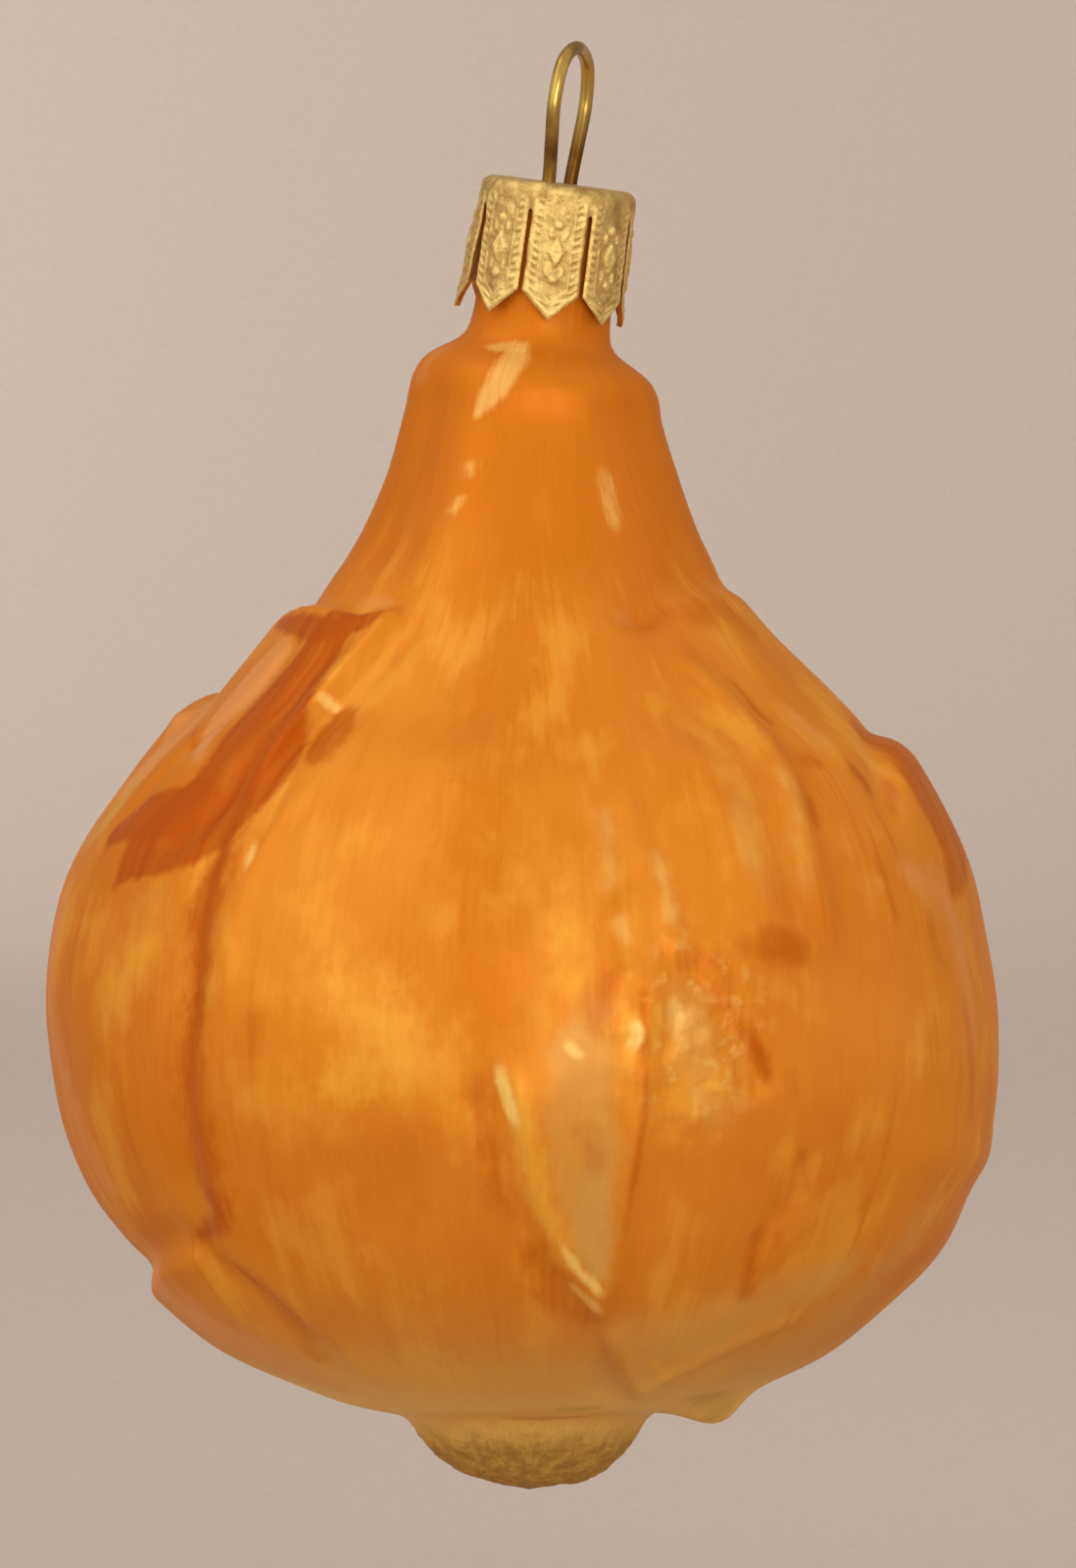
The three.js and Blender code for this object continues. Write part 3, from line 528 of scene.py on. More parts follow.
def nearest(line, spots):
    """Signed distance to a line, positive on its left, and how far along it the nearest point is.

    A line has rows of angle and length up the outline, and maybe a value, which comes back as well.
    """
    best = np.full(len(spots["r"]), np.inf)
    across = np.zeros_like(best)
    along = np.zeros_like(best)
    value = np.zeros_like(best)
    for i in range(len(line) - 1):
        ax = around(line[i][0], spots)
        ay = line[i][1] - spots["s"]
        dx = np.radians(line[i + 1][0] - line[i][0]) * spots["r"]
        dy = line[i + 1][1] - line[i][1]
        share = np.clip(-(ax * dx + ay * dy) / (dx * dx + dy * dy + 1e-12), 0, 1)
        away = np.hypot(ax + share * dx, ay + share * dy)
        closer = away < best
        best = np.where(closer, away, best)
        across = np.where(closer, np.where(ax * dy - ay * dx < 0, -away, away), across)
        along = np.where(closer, (i + share) / (len(line) - 1), along)
        if len(line[i]) > 2:
            value = np.where(closer, line[i][2] + share * (line[i + 1][2] - line[i][2]), value)
    return across, along, value


def surface_line(path, per_span=4):
    """A smooth line over the onion from (angle, height) points, with any third value kept."""
    return smooth_line([(point[0], length_at(point[1]), *point[2:]) for point in path], per_span)


def ramp(value, low, high):
    """A smooth step from 0 at low to 1 at high."""
    share = np.clip((value - low) / (high - low), 0, 1)
    return share * share * (3 - 2 * share)


def bell(value):
    """A smooth bump, 1 at 0."""
    return np.exp(-value * value)


def die_at_ends(along):
    """1 along a path, and 0 at both of its ends."""
    return ramp(along, 0, PATH_END) * ramp(1 - along, 0, PATH_END)


def within(height, reach):
    """1 between the two middle heights of a reach, and 0 outside it."""
    start, full, fading, gone = reach
    return ramp(height, start, full) * (1 - ramp(height, fading, gone))


def relief(spots):
    """How far the glass stands out of its outline."""
    out = np.zeros_like(spots["r"])
    for rise, fade, valley, half, path in SKIN_EDGES.values():
        across, along, _ = nearest(surface_line(path), spots)
        step = ramp(across, -half, half) * np.exp(-np.maximum(across, 0) / fade)
        out += die_at_ends(along) * (rise * step - valley * bell(across / VALLEY_WIDTH + VALLEY_SHIFT))
    for height, width, path in FOLDS.values():
        across, along, _ = nearest(surface_line(path), spots)
        out += die_at_ends(along) * height * bell(across / width)
    for angle, height, wide, high, rise in SWELLINGS.values():
        out += rise * bell(around(angle, spots) / wide) * bell((spots["s"] - length_at(height)) / high)
    on_neck = within(spots["h"], NECK_REACH)
    for count, depth, crest in NECK_WAVES:
        out += depth * on_neck * np.cos(np.radians(count * (spots["angle"] - crest)))
    count, depth, rings = ROOT_STUBS
    on_knob = within(spots["h"], KNOB_REACH)
    ring = np.cos(math.tau * rings * spots["s"])
    out += depth * on_knob * np.cos(np.radians(count * spots["angle"])) * ring
    return out * (1 - ramp(spots["h"], 73.5, 76.5))


def crinkle(spots):
    """Small uneven dents: crumpled skin by the tear, stubble on the knob, and unevenness all over."""
    angle, height = CRUMPLED_AT
    crumpled = bell(around(angle, spots) / 5) * bell((spots["s"] - length_at(height)) / 6)
    stubble = 1 - ramp(spots["h"], 4, 5.2)
    turn = np.radians(spots["angle"])
    places = np.stack([np.sin(turn) * spots["r"], -np.cos(turn) * spots["r"], spots["h"]], axis=1)
    broad, small, fine = (
        np.array([noise.noise(Vector(place) * scale) for place in places]) for scale in DENT_SCALES)
    out = 0.25 * broad + 0.22 * crumpled * small + stubble * (0.14 * small + 0.08 * fine)
    return out * (1 - ramp(spots["h"], 73, 75.5)) * ramp(spots["h"], 0, 0.6)


# Places

def spine_at(heights):
    """Centre line of the glass, and how far the neck has turned, at these heights."""
    bend = (LEAN_END - LEAN_START) / LEAN
    turned = np.clip((heights - LEAN_START) / bend, 0, LEAN)
    beyond = np.maximum(heights - LEAN_END, 0)
    sideways = bend * (1 - np.cos(turned)) + beyond * np.sin(turned)
    upward = np.minimum(heights, LEAN_START) + bend * np.sin(turned) + beyond * np.cos(turned)
    return sideways, upward, turned


def lean_over(radial, heights):
    """Points of a straight onion, as offsets from its axis and heights, moved onto the leaning spine."""
    towards = np.array([math.cos(LEAN_TOWARDS), math.sin(LEAN_TOWARDS)])
    sideways, upward, turned = spine_at(heights)
    in_lean = radial @ towards
    flat = radial + ((in_lean * (np.cos(turned) - 1) + sideways)[:, None]) * towards
    return np.column_stack([flat, upward - in_lean * np.sin(turned)])


def cap_place():
    """Matrix from the cap's own millimetres, its top face at z = 0, to the frame."""
    top = lean_over(np.zeros((1, 2)), np.array([RIM_HEIGHT + GAP + SHEET]))[0]
    axis = Vector((-math.sin(LEAN_TOWARDS), math.cos(LEAN_TOWARDS), 0))
    turn = Quaternion(axis, LEAN).to_matrix().to_4x4()
    bearing = Vector(top) + turn @ Vector((0, 0, LOOP_HEIGHT - 2 * WIRE_RADIUS))
    return Matrix.Scale(MM, 4) @ Matrix.Translation(Vector(top) - bearing) @ turn, bearing


CAP_PLACE, BEARING = cap_place()


# Pieces

def new_piece(name, bm, *, sharp=None):
    """A smooth-shaded object from a bmesh, with edges over an angle kept sharp."""
    for face in bm.faces:
        face.smooth = True
    if sharp:
        for edge in bm.edges:
            edge.smooth = edge.calc_face_angle(0) < sharp
    mesh = bpy.data.meshes.new(name)
    bm.to_mesh(mesh)
    bm.free()
    piece = bpy.data.objects.new(name, mesh)
    bpy.context.scene.collection.objects.link(piece)
    return piece


def set_places(bm, places):
    """Moves each vertex to its place."""
    for vert, place in zip(bm.verts, places):
        vert.co = place


def only(items, kind):
    """The items that are of this kind."""
    return [item for item in items if isinstance(item, kind)]


def spun_profile(places, lengths, steps):
    """A profile of (radius, height) turned round, with each vertex's length up the outline kept."""
    bm = bmesh.new()
    layer = bm.verts.layers.float.new("length")
    chain = [bm.verts.new((0, -r, h)) for r, h in places]
    for vert, length in zip(chain, lengths):
        vert[layer] = length
    edges = [bm.edges.new(pair) for pair in zip(chain, chain[1:])]
    bmesh.ops.spin(bm, geom=chain + edges, cent=(0, 0, 0), axis=(0, 0, 1), angle=math.tau,
                   steps=steps, use_merge=True)
    bmesh.ops.remove_doubles(bm, verts=bm.verts, dist=1e-5)
    bmesh.ops.recalc_face_normals(bm, faces=bm.faces)
    return bm


def lay_coats(spots):
    """The paint strokes, laid into coats so that no two strokes in a coat come near each other.

    A coat holds three values at each spot: the distance to its stroke's middle and the stroke's half
    width, both over the softness of its edge, and the strength.
    """
    coats = {}
    for paint, strokes in STROKES.items():
        taken = []
        for strength, soft, path in strokes:
            line = surface_line(path, 3)
            room = 0.6 + 0.5 * soft
            reach = line[:, 2].max() + soft + room + STROKE_ROOM
            spread = np.radians(np.ptp(line[:, 0]) / 2) * spots["r"] + reach
            near = np.abs(around((line[:, 0].min() + line[:, 0].max()) / 2, spots)) < spread
            near &= (spots["s"] > line[:, 1].min() - reach) & (spots["s"] < line[:, 1].max() + reach)
            near = np.nonzero(near)[0]
            across, along, half = nearest(line, {key: values[near] for key, values in spots.items()})
            away = np.abs(across)
            full = np.where(away < half + soft + room, strength, 0)
            if line[:, 2].max() < FAINT_HALF:
                full = full * ramp(along, 0, STROKE_END) * ramp(1 - along, 0, STROKE_END)
            else:
                across = away
            close = away < half + soft + room + STROKE_ROOM
            near = near[close]
            index = next((k for k, used in enumerate(taken) if not used[near].any()), len(taken))
            name = f"{paint}_{index + 1}"
            if index == len(taken):
                taken.append(np.zeros(len(spots["r"]), bool))
                coats[name] = np.zeros((len(spots["r"]), 3), np.float32)
            taken[index][near] = True
            coats[name][near] = np.stack([across / soft, half / soft, full], axis=1)[close]
    return coats


def keep_values(piece, name, values):
    """Stores three values for each vertex under a name."""
    layer = piece.data.attributes.new(name, "FLOAT_VECTOR", "POINT")
    layer.data.foreach_set("vector", values.ravel())


def make_glass(settings):
    """The glass: its outline spun, dented and leant over, with its lacquer layers as attributes."""
    outer = np.linspace(0, OUTLINE_LENGTH[-1], settings.rows + 1)
    places, _ = outline_at(outer)
    places[0][0] = 0
    inner = np.full(len(CAVITY), -1.0)
    bm = spun_profile(np.vstack([places, CAVITY]), np.concatenate([outer, inner]), settings.steps)
    layer = bm.verts.layers.float["length"]
    start = np.array([vert.co for vert in bm.verts])
    lengths = np.array([vert[layer] for vert in bm.verts])
    outside = lengths >= 0
    radius = np.hypot(start[:, 0], start[:, 1])
    turn = np.arctan2(start[:, 0], -start[:, 1])
    turn -= FRONT_FINENESS * np.sin(turn)
    angle = np.degrees(turn)
    spots = {
        "angle": angle[outside], "r": radius[outside], "h": start[outside, 2], "s": lengths[outside]}
    rise = relief(spots) + crinkle(spots)
    rise[spots["r"] < 1e-4] = 0
    _, out = outline_at(spots["s"])
    moved_radius = radius.copy()
    moved_height = start[:, 2].copy()
    moved_radius[outside] += rise * out[:, 0]
    moved_height[outside] += rise * out[:, 1]
    outward = np.column_stack([np.sin(turn), -np.cos(turn)])
    radial = outward * moved_radius[:, None]
    set_places(bm, (lean_over(radial, moved_height) - np.array(BEARING)) * MM)
    glass = new_piece("lacquered_glass", bm, sharp=math.radians(60))
    for name, coat in lay_coats(spots).items():
        values = np.zeros((len(start), 3), np.float32)
        values[outside] = coat
        keep_values(glass, name, values)
    skin = np.column_stack([outward * SKIN_RADIUS, np.maximum(lengths, 0)])
    keep_values(glass, "skin", skin.astype(np.float32))
    return glass


# The cap

TAB_COUNT = 8
FIRST_TAB = math.radians(4)
TAB_FLARES = [math.radians(flare) for flare in (1.2, 0.8, 1, 1.5, 0.6, 1.4, 5, 1)]
COLUMNS = 36
TAB_ROWS = 74
SLIT = 0.16
ROPE_PITCH = 0.52
MOTIF_TOP = 1.7

# Dents all over the sheet: depth, and noise per mm
CAP_DENTS = ((0.09, 0.55), (0.06, 1.5))


def stamped(x, down, half, shoulder, tip):
    """Height of the stamping on a tab: two ridges and a rope round its border, and a plain motif."""
    slope = math.hypot(tip - shoulder, half) / half
    to_point = (tip - (tip - shoulder) * np.abs(x) / half - down) / slope
    inset = np.minimum(half - np.abs(x), to_point)
    rope = 0.5 + 0.5 * np.cos(math.tau * (down + 0.35 * np.abs(x)) / ROPE_PITCH)
    border = 0.10 * bell((inset - 0.2) / 0.13) + 0.12 * rope * bell((inset - 0.5) / 0.16)
    border += 0.06 * bell((inset - 0.82) / 0.08)
    middle = (MOTIF_TOP + shoulder) / 2
    lozenge = np.abs(x) / 0.6 + np.abs(down - middle) / 1.1
    motif = 0.14 * (1 - ramp(lozenge, 0.75, 1.05)) - 0.06 * (1 - ramp(lozenge, 0.3, 0.5))
    for offset in (-1.75, 1.75):
        motif += 0.15 * (1 - ramp(np.hypot(x, down - middle - offset), 0.18, 0.4))
    for side in (-1, 1):
        for above in (-1, 1):
            leaf = np.hypot((x - side * 0.5) / 0.2, (down - middle - above * 1.25) / 0.42)
            motif += 0.09 * (1 - ramp(leaf, 0.5, 1.1))
    below = ramp(down, 1.5, 2.0)
    return border * ramp(down, 0.9, 1.3) + motif * below


def add_tab(bm, settings, index, layer):
    """An eighth of the skirt: a grid bent round the neck, with slits beside it below the rim."""
    names = ("radius", "roll", "slit_top", "shoulder", "tip")
    radius, roll, slit_top, shoulder, tip = (getattr(settings, name) / MM for name in names)
    pitch = math.tau / TAB_COUNT
    half = radius * pitch / 2 - SLIT
    made = bmesh.ops.create_grid(bm, x_segments=COLUMNS, y_segments=TAB_ROWS, size=0.5)["verts"]
    grid = np.array([vert.co for vert in made])
    across = 2 * grid[:, 0]
    share = 0.5 - grid[:, 1]
    down = roll + share * (tip - (tip - shoulder) * np.abs(across) - roll)
    slit = SLIT * ramp(down, slit_top, slit_top + 0.25)
    x = across * (half + SLIT - slit)
    height = stamped(x, down, half, shoulder, tip)
    angle = FIRST_TAB + index * pitch + x / radius
    out = radius + height + np.maximum(down - slit_top, 0) * math.tan(TAB_FLARES[index])
    for vert, a, r, d, e in zip(made, angle, out, down, height):
        vert.co = (r * math.sin(a), -r * math.cos(a), -d)
        vert[layer] = e


def add_cap_top(bm, settings):
    """The flat top with its two wire holes, and the rolled edge down to the skirt."""
    radius = settings.radius / MM
    roll = settings.roll / MM
    turn = Matrix.Rotation(FIRST_TAB - math.pi / TAB_COUNT, 4, "Z")
    around_top = bmesh.ops.create_circle(
        bm, segments=TAB_COUNT * COLUMNS, radius=radius - roll, matrix=turn)["verts"]
    rim = {edge for vert in around_top for edge in vert.link_edges}
    edges = set(rim)
    for side in (-1, 1):
        at = Matrix.Rotation(LOOP_TURN, 4, "Z") @ Matrix.Translation((side * LEG_SPACING / 2, 0, 0))
        hole = bmesh.ops.create_circle(bm, segments=28, radius=WIRE_RADIUS + GAP, matrix=at)["verts"]
        edges |= {edge for vert in hole for edge in vert.link_edges}
    bmesh.ops.triangle_fill(bm, use_beauty=True, use_dissolve=False, edges=list(edges))
    edge_loop = list(rim)
    steps = 6
    for k in range(steps):
        made = bmesh.ops.extrude_edge_only(bm, edges=edge_loop)["geom"]
        edge_loop = only(made, bmesh.types.BMEdge)
        a = (k + 1) / steps * math.pi / 2
        wide = radius - roll + roll * math.sin(a)
        for vert in only(made, bmesh.types.BMVert):
            flat = vert.co.xy.normalized() * wide
            vert.co = (flat.x, flat.y, roll * (math.cos(a) - 1))


def make_cap(settings):
    """The stamped sheet-metal cap."""
    bm = bmesh.new()
    layer = bm.verts.layers.float.new("stamping")
    add_cap_top(bm, settings)
    for index in range(TAB_COUNT):
        add_tab(bm, settings, index, layer)
    bmesh.ops.remove_doubles(bm, verts=bm.verts, dist=0.02)
    bmesh.ops.recalc_face_normals(bm, faces=bm.faces)
    top = max(bm.faces, key=lambda face: face.calc_center_median().z)
    if top.normal.z < 0:
        bmesh.ops.reverse_faces(bm, faces=bm.faces)
    for vert in bm.verts:
        dent = sum(depth * noise.noise(vert.co * scale) for depth, scale in CAP_DENTS)
        vert.co += vert.normal * dent
    bmesh.ops.solidify(bm, geom=bm.faces, thickness=SHEET)
    bmesh.ops.transform(bm, matrix=CAP_PLACE, verts=bm.verts)
    return new_piece("stamped_cap", bm, sharp=math.radians(50))


# The wire

# One half of the wire, from the foot of a leg up to the loop, as (distance from the middle, height
# over the cap)
RIGHT_HALF = [
    (5.0, -18.8), (3.9, -15.8), (3.1, -12.6), (3.0, -9.5), (3.0, -6), (2.9, -3.2),
    (LEG_SPACING / 2, -0.6), (LEG_SPACING / 2, 0.4), (3.0, 2.8), (3.5, 5.4), (2.7, 7.9),
]


def make_wire(settings):
    """The sprung wire: a loop over the cap and two legs in the neck."""
    left = [(-x, 0, z) for x, z in RIGHT_HALF]
    right = [(x, 0, z) for x, z in reversed(RIGHT_HALF)]
    line = smooth_line([*left, (0, 0, LOOP_HEIGHT - WIRE_RADIUS), *right], 9)
    curve = bpy.data.curves.new("wire_line", "CURVE")
    curve.dimensions = "3D"
    curve.bevel_depth = settings.radius / MM
    curve.bevel_resolution = 6
    curve.use_fill_caps = True
    spline = curve.splines.new("POLY")
    spline.points.add(len(line) - 1)
    for point, place in zip(spline.points, line):
        point.co = (*place, 1)
    carrier = bpy.data.objects.new("wire_line", curve)
    bpy.context.scene.collection.objects.link(carrier)
    bpy.context.view_layer.update()
    mesh = bpy.data.meshes.new_from_object(carrier.evaluated_get(bpy.context.evaluated_depsgraph_get()))
    bpy.data.objects.remove(carrier)
    bm = bmesh.new()
    bm.from_mesh(mesh)
    bpy.data.meshes.remove(mesh)
    bmesh.ops.remove_doubles(bm, verts=bm.verts, dist=1e-4)
    bmesh.ops.recalc_face_normals(bm, faces=bm.faces)
    bmesh.ops.transform(bm, matrix=CAP_PLACE @ Matrix.Rotation(LOOP_TURN, 4, "Z"), verts=bm.verts)
    return new_piece("brass_wire", bm, sharp=math.radians(60))


# Materials

class Shader:
    """A material's node tree, with short ways to add and join nodes."""

    def __init__(self, name):
        self.material = bpy.data.materials.new(name)
        self.material.use_nodes = True
        self.tree = self.material.node_tree
        self.surface = next(node for node in self.tree.nodes if node.type == "BSDF_PRINCIPLED")

    def add(self, kind, output=0, inputs=None, **settings):
        """Adds a node, sets or joins its inputs, and gives one of its outputs."""
        node = self.tree.nodes.new("ShaderNode" + kind)
        for key, value in settings.items():
            setattr(node, key, value)
        for key, value in (inputs or {}).items():
            self.join(value, node.inputs[key])
        return node.outputs[output]

    def join(self, value, socket):
        """Feeds an input from another node, or gives it a value."""
        if isinstance(value, bpy.types.NodeSocket):
            self.tree.links.new(value, socket)
        else:
            socket.default_value = value

    def set(self, name, value):
        """Sets or joins an input of the surface."""
        self.join(value, self.surface.inputs[name])

    def attribute(self, name, output="Fac"):
        return self.add("Attribute", output, attribute_name=name)

    def noise(self, where, scale, detail=4.0, roughness=0.55):
        inputs = {"Vector": where, "Scale": scale, "Detail": detail, "Roughness": roughness}
        return self.add("TexNoise", "Fac", inputs)

    def stretch(self, where, scale):
        return self.add("Mapping", 0, {"Vector": where, "Scale": scale})

    def between(self, value, low, high, to_low=0.0, to_high=1.0):
        """Maps low..high onto to_low..to_high, smoothly and clamped."""
        inputs = {"Value": value, "From Min": low, "From Max": high, "To Min": to_low, "To Max": to_high}
        return self.add("MapRange", 0, inputs, interpolation_type="SMOOTHSTEP")

    def sum(self, first, second, operation="ADD"):
        return self.add("Math", 0, {0: first, 1: second}, operation=operation)

    def mix(self, share, first, second, blend="MIX"):
        """Mixes two colours."""
        node = self.tree.nodes.new("ShaderNodeMix")
        node.data_type = "RGBA"
        node.blend_type = blend
        colours = [socket for socket in node.inputs if socket.type == "RGBA"]
        self.join(share, node.inputs["Factor"])
        for value, socket in zip((first, second), colours):
            self.join(value if isinstance(value, bpy.types.NodeSocket) else (*value, 1), socket)
        return next(socket for socket in node.outputs if socket.type == "RGBA")

    def mix_value(self, share, first, second):
        """Mixes two numbers."""
        return self.add("Mix", "Result", {"Factor": share, "A": first, "B": second})

    def bump(self, height, depth, under=None):
        """A bump of this depth in metres, over another bump."""
        inputs = {"Height": height, "Distance": depth, "Strength": 1.0}
        if under:
            inputs["Normal"] = under
        return self.add("Bump", 0, inputs)


def lacquer(settings, coats):
    """Translucent orange lacquer brushed over silvered glass, with its coats of paint."""
    shader = Shader("orange_lacquer")
    skin = shader.attribute("skin", "Vector")
    cloud = shader.noise(shader.stretch(skin, (0.09, 0.09, 0.06)), 1.0, 3.0)
    patch = shader.noise(shader.stretch(skin, (0.26, 0.26, 0.12)), 1.0, 5.0)
    brushed = shader.noise(shader.stretch(skin, (1.3, 1.3, 0.06)), 1.0, 5.0, 0.6)
    hairs = shader.noise(shader.stretch(skin, (4.5, 4.5, 0.3)), 1.0, 3.0, 0.6)
    torn = shader.noise(shader.stretch(skin, (1.1, 1.1, 0.5)), 1.0, 5.0, 0.65)
    up = shader.add("SeparateXYZ", "Z", {0: skin})
    neck = shader.between(up, length_at(55), length_at(68))
    deep = shader.sum(shader.between(cloud, 0.38, 0.62, 0.0, 0.7), neck)
    deep.node.use_clamp = True
    tint = shader.mix(deep, settings.orange, settings.amber)
    golden = shader.sum(patch, shader.sum(brushed, 0.3, "MULTIPLY"))
    thin = shader.between(golden, 0.64, 0.84, 0.0, 0.5)
    bare = shader.sum(thin, shader.between(neck, 0.0, 1.0, 1.0, 0.15), "MULTIPLY")
    tint = shader.mix(bare, tint, settings.gold)
    # Towards the bottom the lacquer turns to silver and then pale: partly its own paler tone there, and
    # partly painted light that brightens the underside
    tint = shader.mix(shader.between(up, length_at(18), length_at(7), 0.0, 0.75), tint, settings.silver)
    tint = shader.mix(shader.between(up, length_at(12), length_at(6), 0.0, 0.75), tint, settings.pale)
    front = shader.between(shader.add("SeparateXYZ", "Y", {0: skin}), -19.5, -12.0, 0.35, 1.0)
    streaks = shader.sum(shader.between(brushed, 0.44, 0.3, 0.0, 0.22), front, "MULTIPLY")
    tint = shader.mix(streaks, tint, settings.umber)
    folds = shader.stretch(skin, (1.0, 1.0, 0.5))
    from_crumple = shader.add("VectorMath", "Value", {0: folds, 1: CRUMPLE}, operation="DISTANCE")
    crumpled = shader.between(from_crumple, 4.5, 1.5)
    # Pale flecks on the crumpled skin beside the tear: painted glints where its crinkles catch the light
    facets = shader.noise(shader.stretch(skin, (1.3, 1.3, 0.9)), 1.0, 2.0, 0.5)
    painted_glints = shader.sum(shader.between(facets, 0.5, 0.7, 0.0, 0.35), crumpled, "MULTIPLY")
    tint = shader.mix(painted_glints, tint, settings.pale)
    ragged = shader.between(torn, 0.3, 0.7, -0.5, 0.5)
    dry = shader.between(brushed, 0.3, 0.7, 1.15, 0.8)
    for name in coats:
        coat = shader.add("SeparateXYZ", 0, {0: shader.attribute(name, "Vector")}).node.outputs
        away = shader.sum(coat["X"], 0.0, "ABSOLUTE")
        inside = shader.sum(shader.sum(coat["Y"], away, "SUBTRACT"), ragged)
        covered = shader.between(inside, -1.0, 1.0)
        share = shader.sum(covered, shader.sum(coat["Z"], dry, "MULTIPLY"), "MULTIPLY")
        share.node.use_clamp = True
        tint = shader.mix(share, tint, getattr(settings, name.split("_")[0]))
    rise = shader.sum(up, shader.sum(ragged, 0.5, "MULTIPLY"))
    root = shader.between(rise, length_at(5.2), length_at(2.6))
    grit = shader.noise(shader.add("TexCoord", "Object"), 1300.0, 5.0, 0.7)
    stubble = shader.mix(shader.between(grit, 0.38, 0.62), settings.olive, settings.root)
    tint = shader.mix(root, tint, stubble)
    grain = shader.between(hairs, 0.3, 0.7, 0.975, 1.02)
    grey = shader.add("CombineColor", 0, {"Red": grain, "Green": grain, "Blue": grain})
    tint = shader.mix(1.0, tint, grey, "MULTIPLY")
    shader.set("Base Color", tint)
    shader.set("Metallic", 0.3)
    shader.set("Specular IOR Level", 0.15)
    shader.set("Specular Tint", (1.0, 0.7, 0.35, 1.0))
    gloss = shader.between(patch, 0.3, 0.7, settings.roughness - 0.05, settings.roughness + 0.06)
    shader.set("Roughness", shader.mix_value(root, gloss, 0.65))
    shader.set("Coat Weight", 0.05)
    shader.set("Coat Roughness", 0.3)
    normal = shader.bump(patch, 0.0001)
    normal = shader.bump(brushed, 0.000015, normal)
    normal = shader.bump(hairs, 0.000003, normal)
    normal = shader.bump(shader.sum(facets, crumpled, "MULTIPLY"), 0.00013, normal)
    normal = shader.bump(shader.sum(grit, root, "MULTIPLY"), 0.0003, normal)
    shader.set("Normal", normal)
    return shader.material


def gilt_sheet(settings):
    """Gold-lacquered sheet, dull in the recesses of its stamping."""
    shader = Shader("gilt_sheet")
    where = shader.add("TexCoord", "Object")
    wear = shader.noise(where, 900.0, 6.0, 0.65)
    fine = shader.noise(where, 3500.0, 3.0)
    high = shader.between(shader.attribute("stamping"), 0.0, 0.09)
    dull = shader.between(wear, 0.35, 0.7, 0.15, 0.75)
    recess = shader.sum(dull, shader.sum(1.0, high, "SUBTRACT"), "MULTIPLY")
    shader.set("Base Color", shader.mix(recess, settings.gilt, settings.tarnish))
    shader.set("Metallic", 0.95)
    shader.set("Roughness", shader.between(wear, 0.3, 0.7, 0.34, 0.5))
    normal = shader.bump(wear, 0.00024)
    shader.set("Normal", shader.bump(fine, 0.00004, normal))
    return shader.material


def brass_wire(settings):
    """Drawn brass with fine lines along it and a stain near the cap."""
    shader = Shader("brass_wire")
    where = shader.add("TexCoord", "Object")
    blotch = shader.noise(where, 260.0, 4.0)
    drawn = shader.noise(shader.stretch(where, (3000.0, 3000.0, 150.0)), 1.0, 4.0)
    height = shader.add("SeparateXYZ", "Z", {0: where})
    low = shader.between(height, -0.0035, -0.0075)
    share = shader.sum(shader.between(blotch, 0.4, 0.62, 0.1, 0.6), shader.sum(low, 0.5, "MULTIPLY"))
    share.node.use_clamp = True
    shader.set("Base Color", shader.mix(share, settings.brass, settings.stain))
    shader.set("Metallic", 1.0)
    shader.set("Roughness", shader.between(blotch, 0.3, 0.7, 0.22, 0.38))
    shader.set("Normal", shader.bump(drawn, 0.00002))
    return shader.material


def paper(settings):
    """Matt pale paper with a faint tooth."""
    shader = Shader("pale_paper")
    where = shader.add("TexCoord", "Object")
    tooth = shader.noise(where, 700.0, 4.0)
    warm = [part * 0.96 for part in settings.paper]
    shader.set("Base Color", shader.mix(shader.between(tooth, 0.35, 0.65), settings.paper, warm))
    shader.set("Roughness", 0.9)
    return shader.material


# Stage

# Lights: place, target, size across in metres, power in watts, and colour
MIDDLE = (0, 0, -0.05)
WARM = (1.0, 0.97, 0.93)
LIGHTS = {
    "key": ((-0.95, -1.1, 0.4), MIDDLE, 1.5, 4.0, WARM),
    "low fill": ((0.3, -1.1, -0.02), MIDDLE, 0.7, 5.5, WARM),
    "top": ((-0.8, -0.3, 1.3), MIDDLE, 1.2, 3.8, WARM),
    "wall wash": ((-0.8, 1.6, 0.4), (-0.3, 2.3, 0.1), 0.5, 3.6, (1.0, 0.97, 0.94)),
}

# Middle of the view: to the right of the onion's axis, and over its lowest point
VIEW_RIGHT = 0.58
VIEW_UP = 46.26


def make_backdrop(settings):
    """A floor that curves up into a far wall, in one sheet."""
    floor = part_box("glass_onion")[0].z - settings.clearance
    front, depth, wall = -3.0, 2.4, 4.0
    bend, steps = 0.8, 16
    half_width = 5.0
    bm = bmesh.new()
    profile = [(front, floor), (depth - bend, floor)]
    for k in range(1, steps + 1):
        a = k / steps * math.pi / 2
        profile.append((depth - bend + bend * math.sin(a), floor + bend * (1 - math.cos(a))))
    profile.append((depth, floor + wall))
    chain = [bm.verts.new((-half_width, y, z)) for y, z in profile]
    edges = [bm.edges.new(pair) for pair in zip(chain, chain[1:])]
    made = bmesh.ops.extrude_edge_only(bm, edges=edges)["geom"]
    bmesh.ops.translate(bm, vec=(2 * half_width, 0, 0), verts=only(made, bmesh.types.BMVert))
    bmesh.ops.recalc_face_normals(bm, faces=bm.faces)
    return new_piece("backdrop", bm)


def add_light(name, place, target, size, power, tone):
    """A round soft light, turned to its target."""
    light = bpy.data.lights.new(name, "AREA")
    light.shape = "DISK"
    light.size = size
    light.energy = power
    light.color = tone
    holder = bpy.data.objects.new(name, light)
    holder.location = place
    holder.rotation_euler = (Vector(target) - Vector(place)).to_track_quat("-Z", "Y").to_euler()
    bpy.context.scene.collection.objects.link(holder)


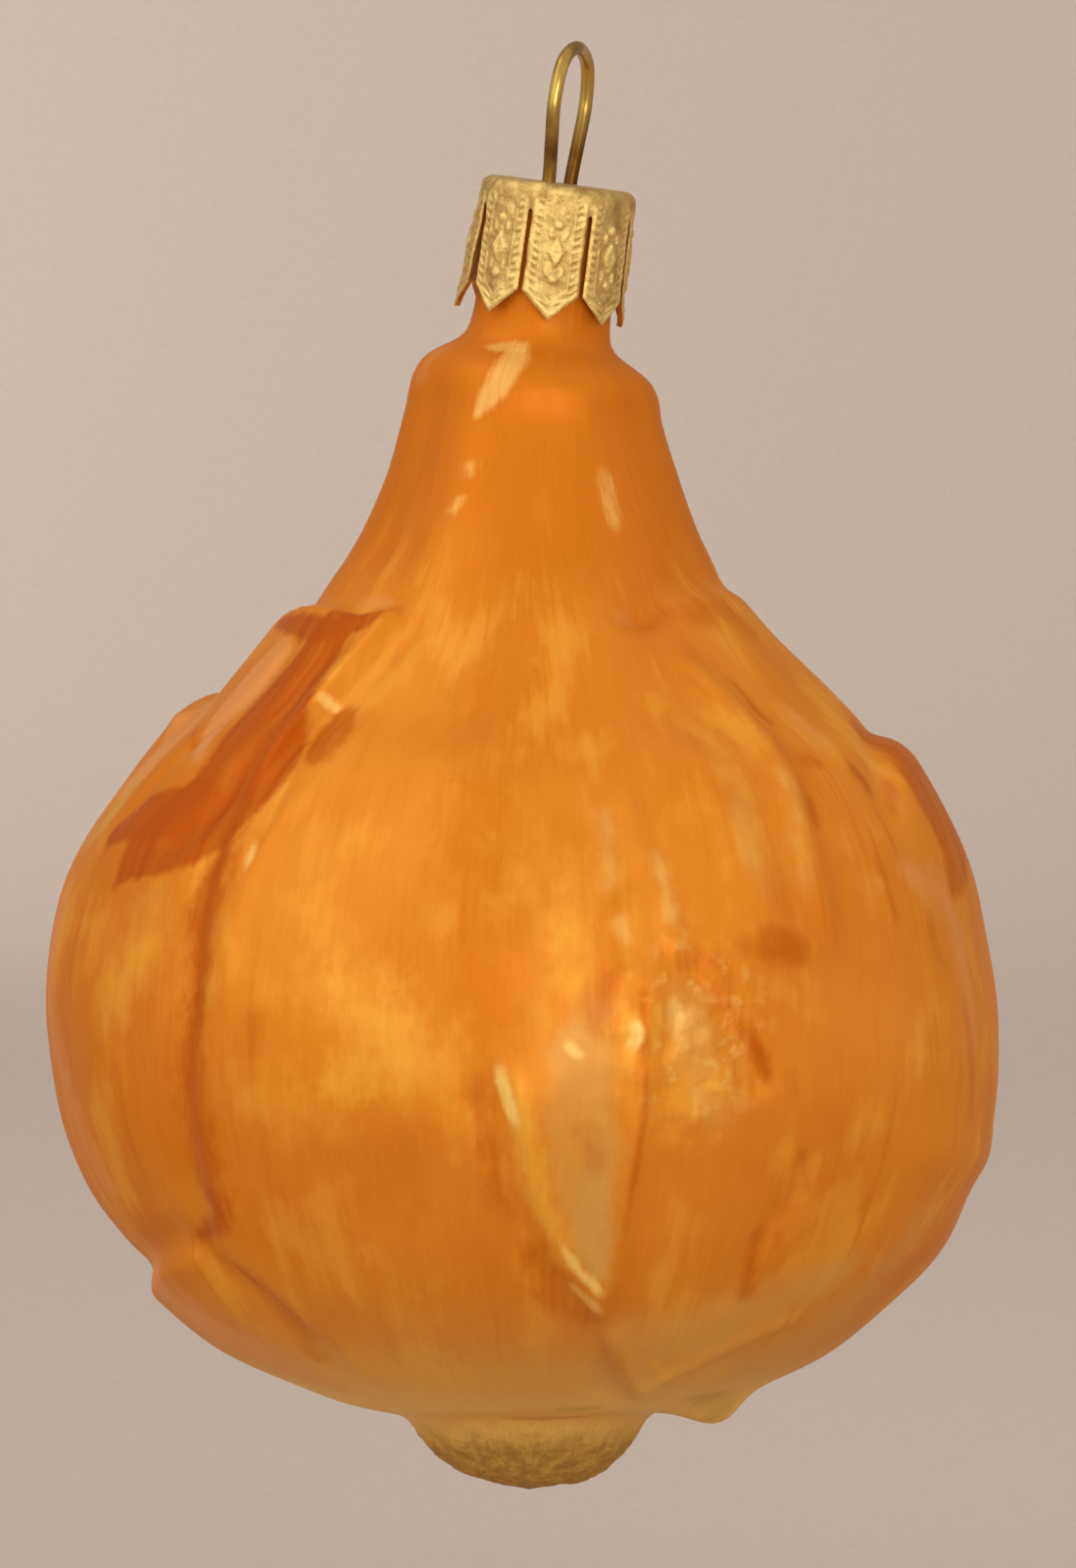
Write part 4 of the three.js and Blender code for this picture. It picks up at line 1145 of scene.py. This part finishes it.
def add_camera(settings):
    """A long lens a little above the onion's middle, looking slightly down."""
    axis = -Vector(BEARING) * MM
    target = Vector((axis.x + VIEW_RIGHT * MM, axis.y, CAD_BOX[0].z + VIEW_UP * MM))
    back = Vector((0, -math.cos(settings.tilt), math.sin(settings.tilt))) * settings.distance
    data = bpy.data.cameras.new("view")
    data.sensor_width = 36
    data.lens = data.sensor_width * settings.distance / settings.view_height
    data.clip_start = 0.01
    data.clip_end = 20
    camera = bpy.data.objects.new("view", data)
    camera.location = target + back
    camera.rotation_euler = (math.pi / 2 - settings.tilt, 0, 0)
    bpy.context.scene.collection.objects.link(camera)
    bpy.context.scene.camera = camera


def add_world():
    """Even soft light from all round."""
    world = bpy.data.worlds.new("studio")
    world.use_nodes = True
    background = world.node_tree.nodes["Background"]
    background.inputs["Color"].default_value = (*colour(240, 234, 226), 1)
    background.inputs["Strength"].default_value = 0.87
    bpy.context.scene.world = world
    bpy.context.scene.view_settings.view_transform = "Standard"


# Operators

def dress(piece, material, node):
    """Gives a piece its material, and has it stand for a node of the model."""
    piece.data.materials.append(material)
    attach(piece, "root")
    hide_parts(node)


class ONION_OT_glass(bpy.types.Operator):
    """Make the lacquered glass onion"""

    bl_idname = "onion.glass"
    bl_label = "Glass onion"

    def execute(self, context):
        settings = context.scene.onion_glass
        glass = make_glass(settings)
        coats = [name for name in glass.data.attributes.keys() if name.split("_")[0] in STROKES]
        dress(glass, lacquer(settings, coats), "glass_onion")
        return {"FINISHED"}


class ONION_OT_cap(bpy.types.Operator):
    """Make the stamped cap"""

    bl_idname = "onion.cap"
    bl_label = "Cap"

    def execute(self, context):
        settings = context.scene.onion_cap
        dress(make_cap(settings), gilt_sheet(settings), "cap")
        return {"FINISHED"}


class ONION_OT_wire(bpy.types.Operator):
    """Make the wire with its loop"""

    bl_idname = "onion.wire"
    bl_label = "Hanger wire"

    def execute(self, context):
        settings = context.scene.onion_wire
        dress(make_wire(settings), brass_wire(settings), "hanger_wire")
        return {"FINISHED"}


class ONION_OT_stage(bpy.types.Operator):
    """Make the floor, the lights and the camera"""

    bl_idname = "onion.stage"
    bl_label = "Stage"

    def execute(self, context):
        settings = context.scene.onion_stage
        backdrop = make_backdrop(settings)
        backdrop.data.materials.append(paper(settings))
        for name, values in LIGHTS.items():
            add_light(name, *values)
        add_world()
        add_camera(settings)
        return {"FINISHED"}


class ONION_PT_panel(bpy.types.Panel):
    """Lists the operators that make the ornament"""

    bl_idname = "ONION_PT_panel"
    bl_label = "Glass onion"
    bl_space_type = "VIEW_3D"
    bl_region_type = "UI"
    bl_category = "Onion"

    def draw(self, context):
        for operator in OPERATORS:
            self.layout.operator(operator.bl_idname)


GROUPS = {
    "onion_glass": OnionGlass, "onion_cap": OnionCap, "onion_wire": OnionWire, "onion_stage": OnionStage}
OPERATORS = (ONION_OT_stage, ONION_OT_glass, ONION_OT_cap, ONION_OT_wire)
CLASSES = (*GROUPS.values(), *OPERATORS, ONION_PT_panel)


def register():
    for cls in CLASSES:
        bpy.utils.register_class(cls)
    for name, group in GROUPS.items():
        setattr(bpy.types.Scene, name, bpy.props.PointerProperty(type=group))


def unregister():
    for name in GROUPS:
        delattr(bpy.types.Scene, name)
    for cls in reversed(CLASSES):
        bpy.utils.unregister_class(cls)


def main():
    register()
    bpy.ops.onion.stage()
    bpy.ops.onion.glass()
    bpy.ops.onion.cap()
    bpy.ops.onion.wire()


if __name__ == "__main__":
    main()
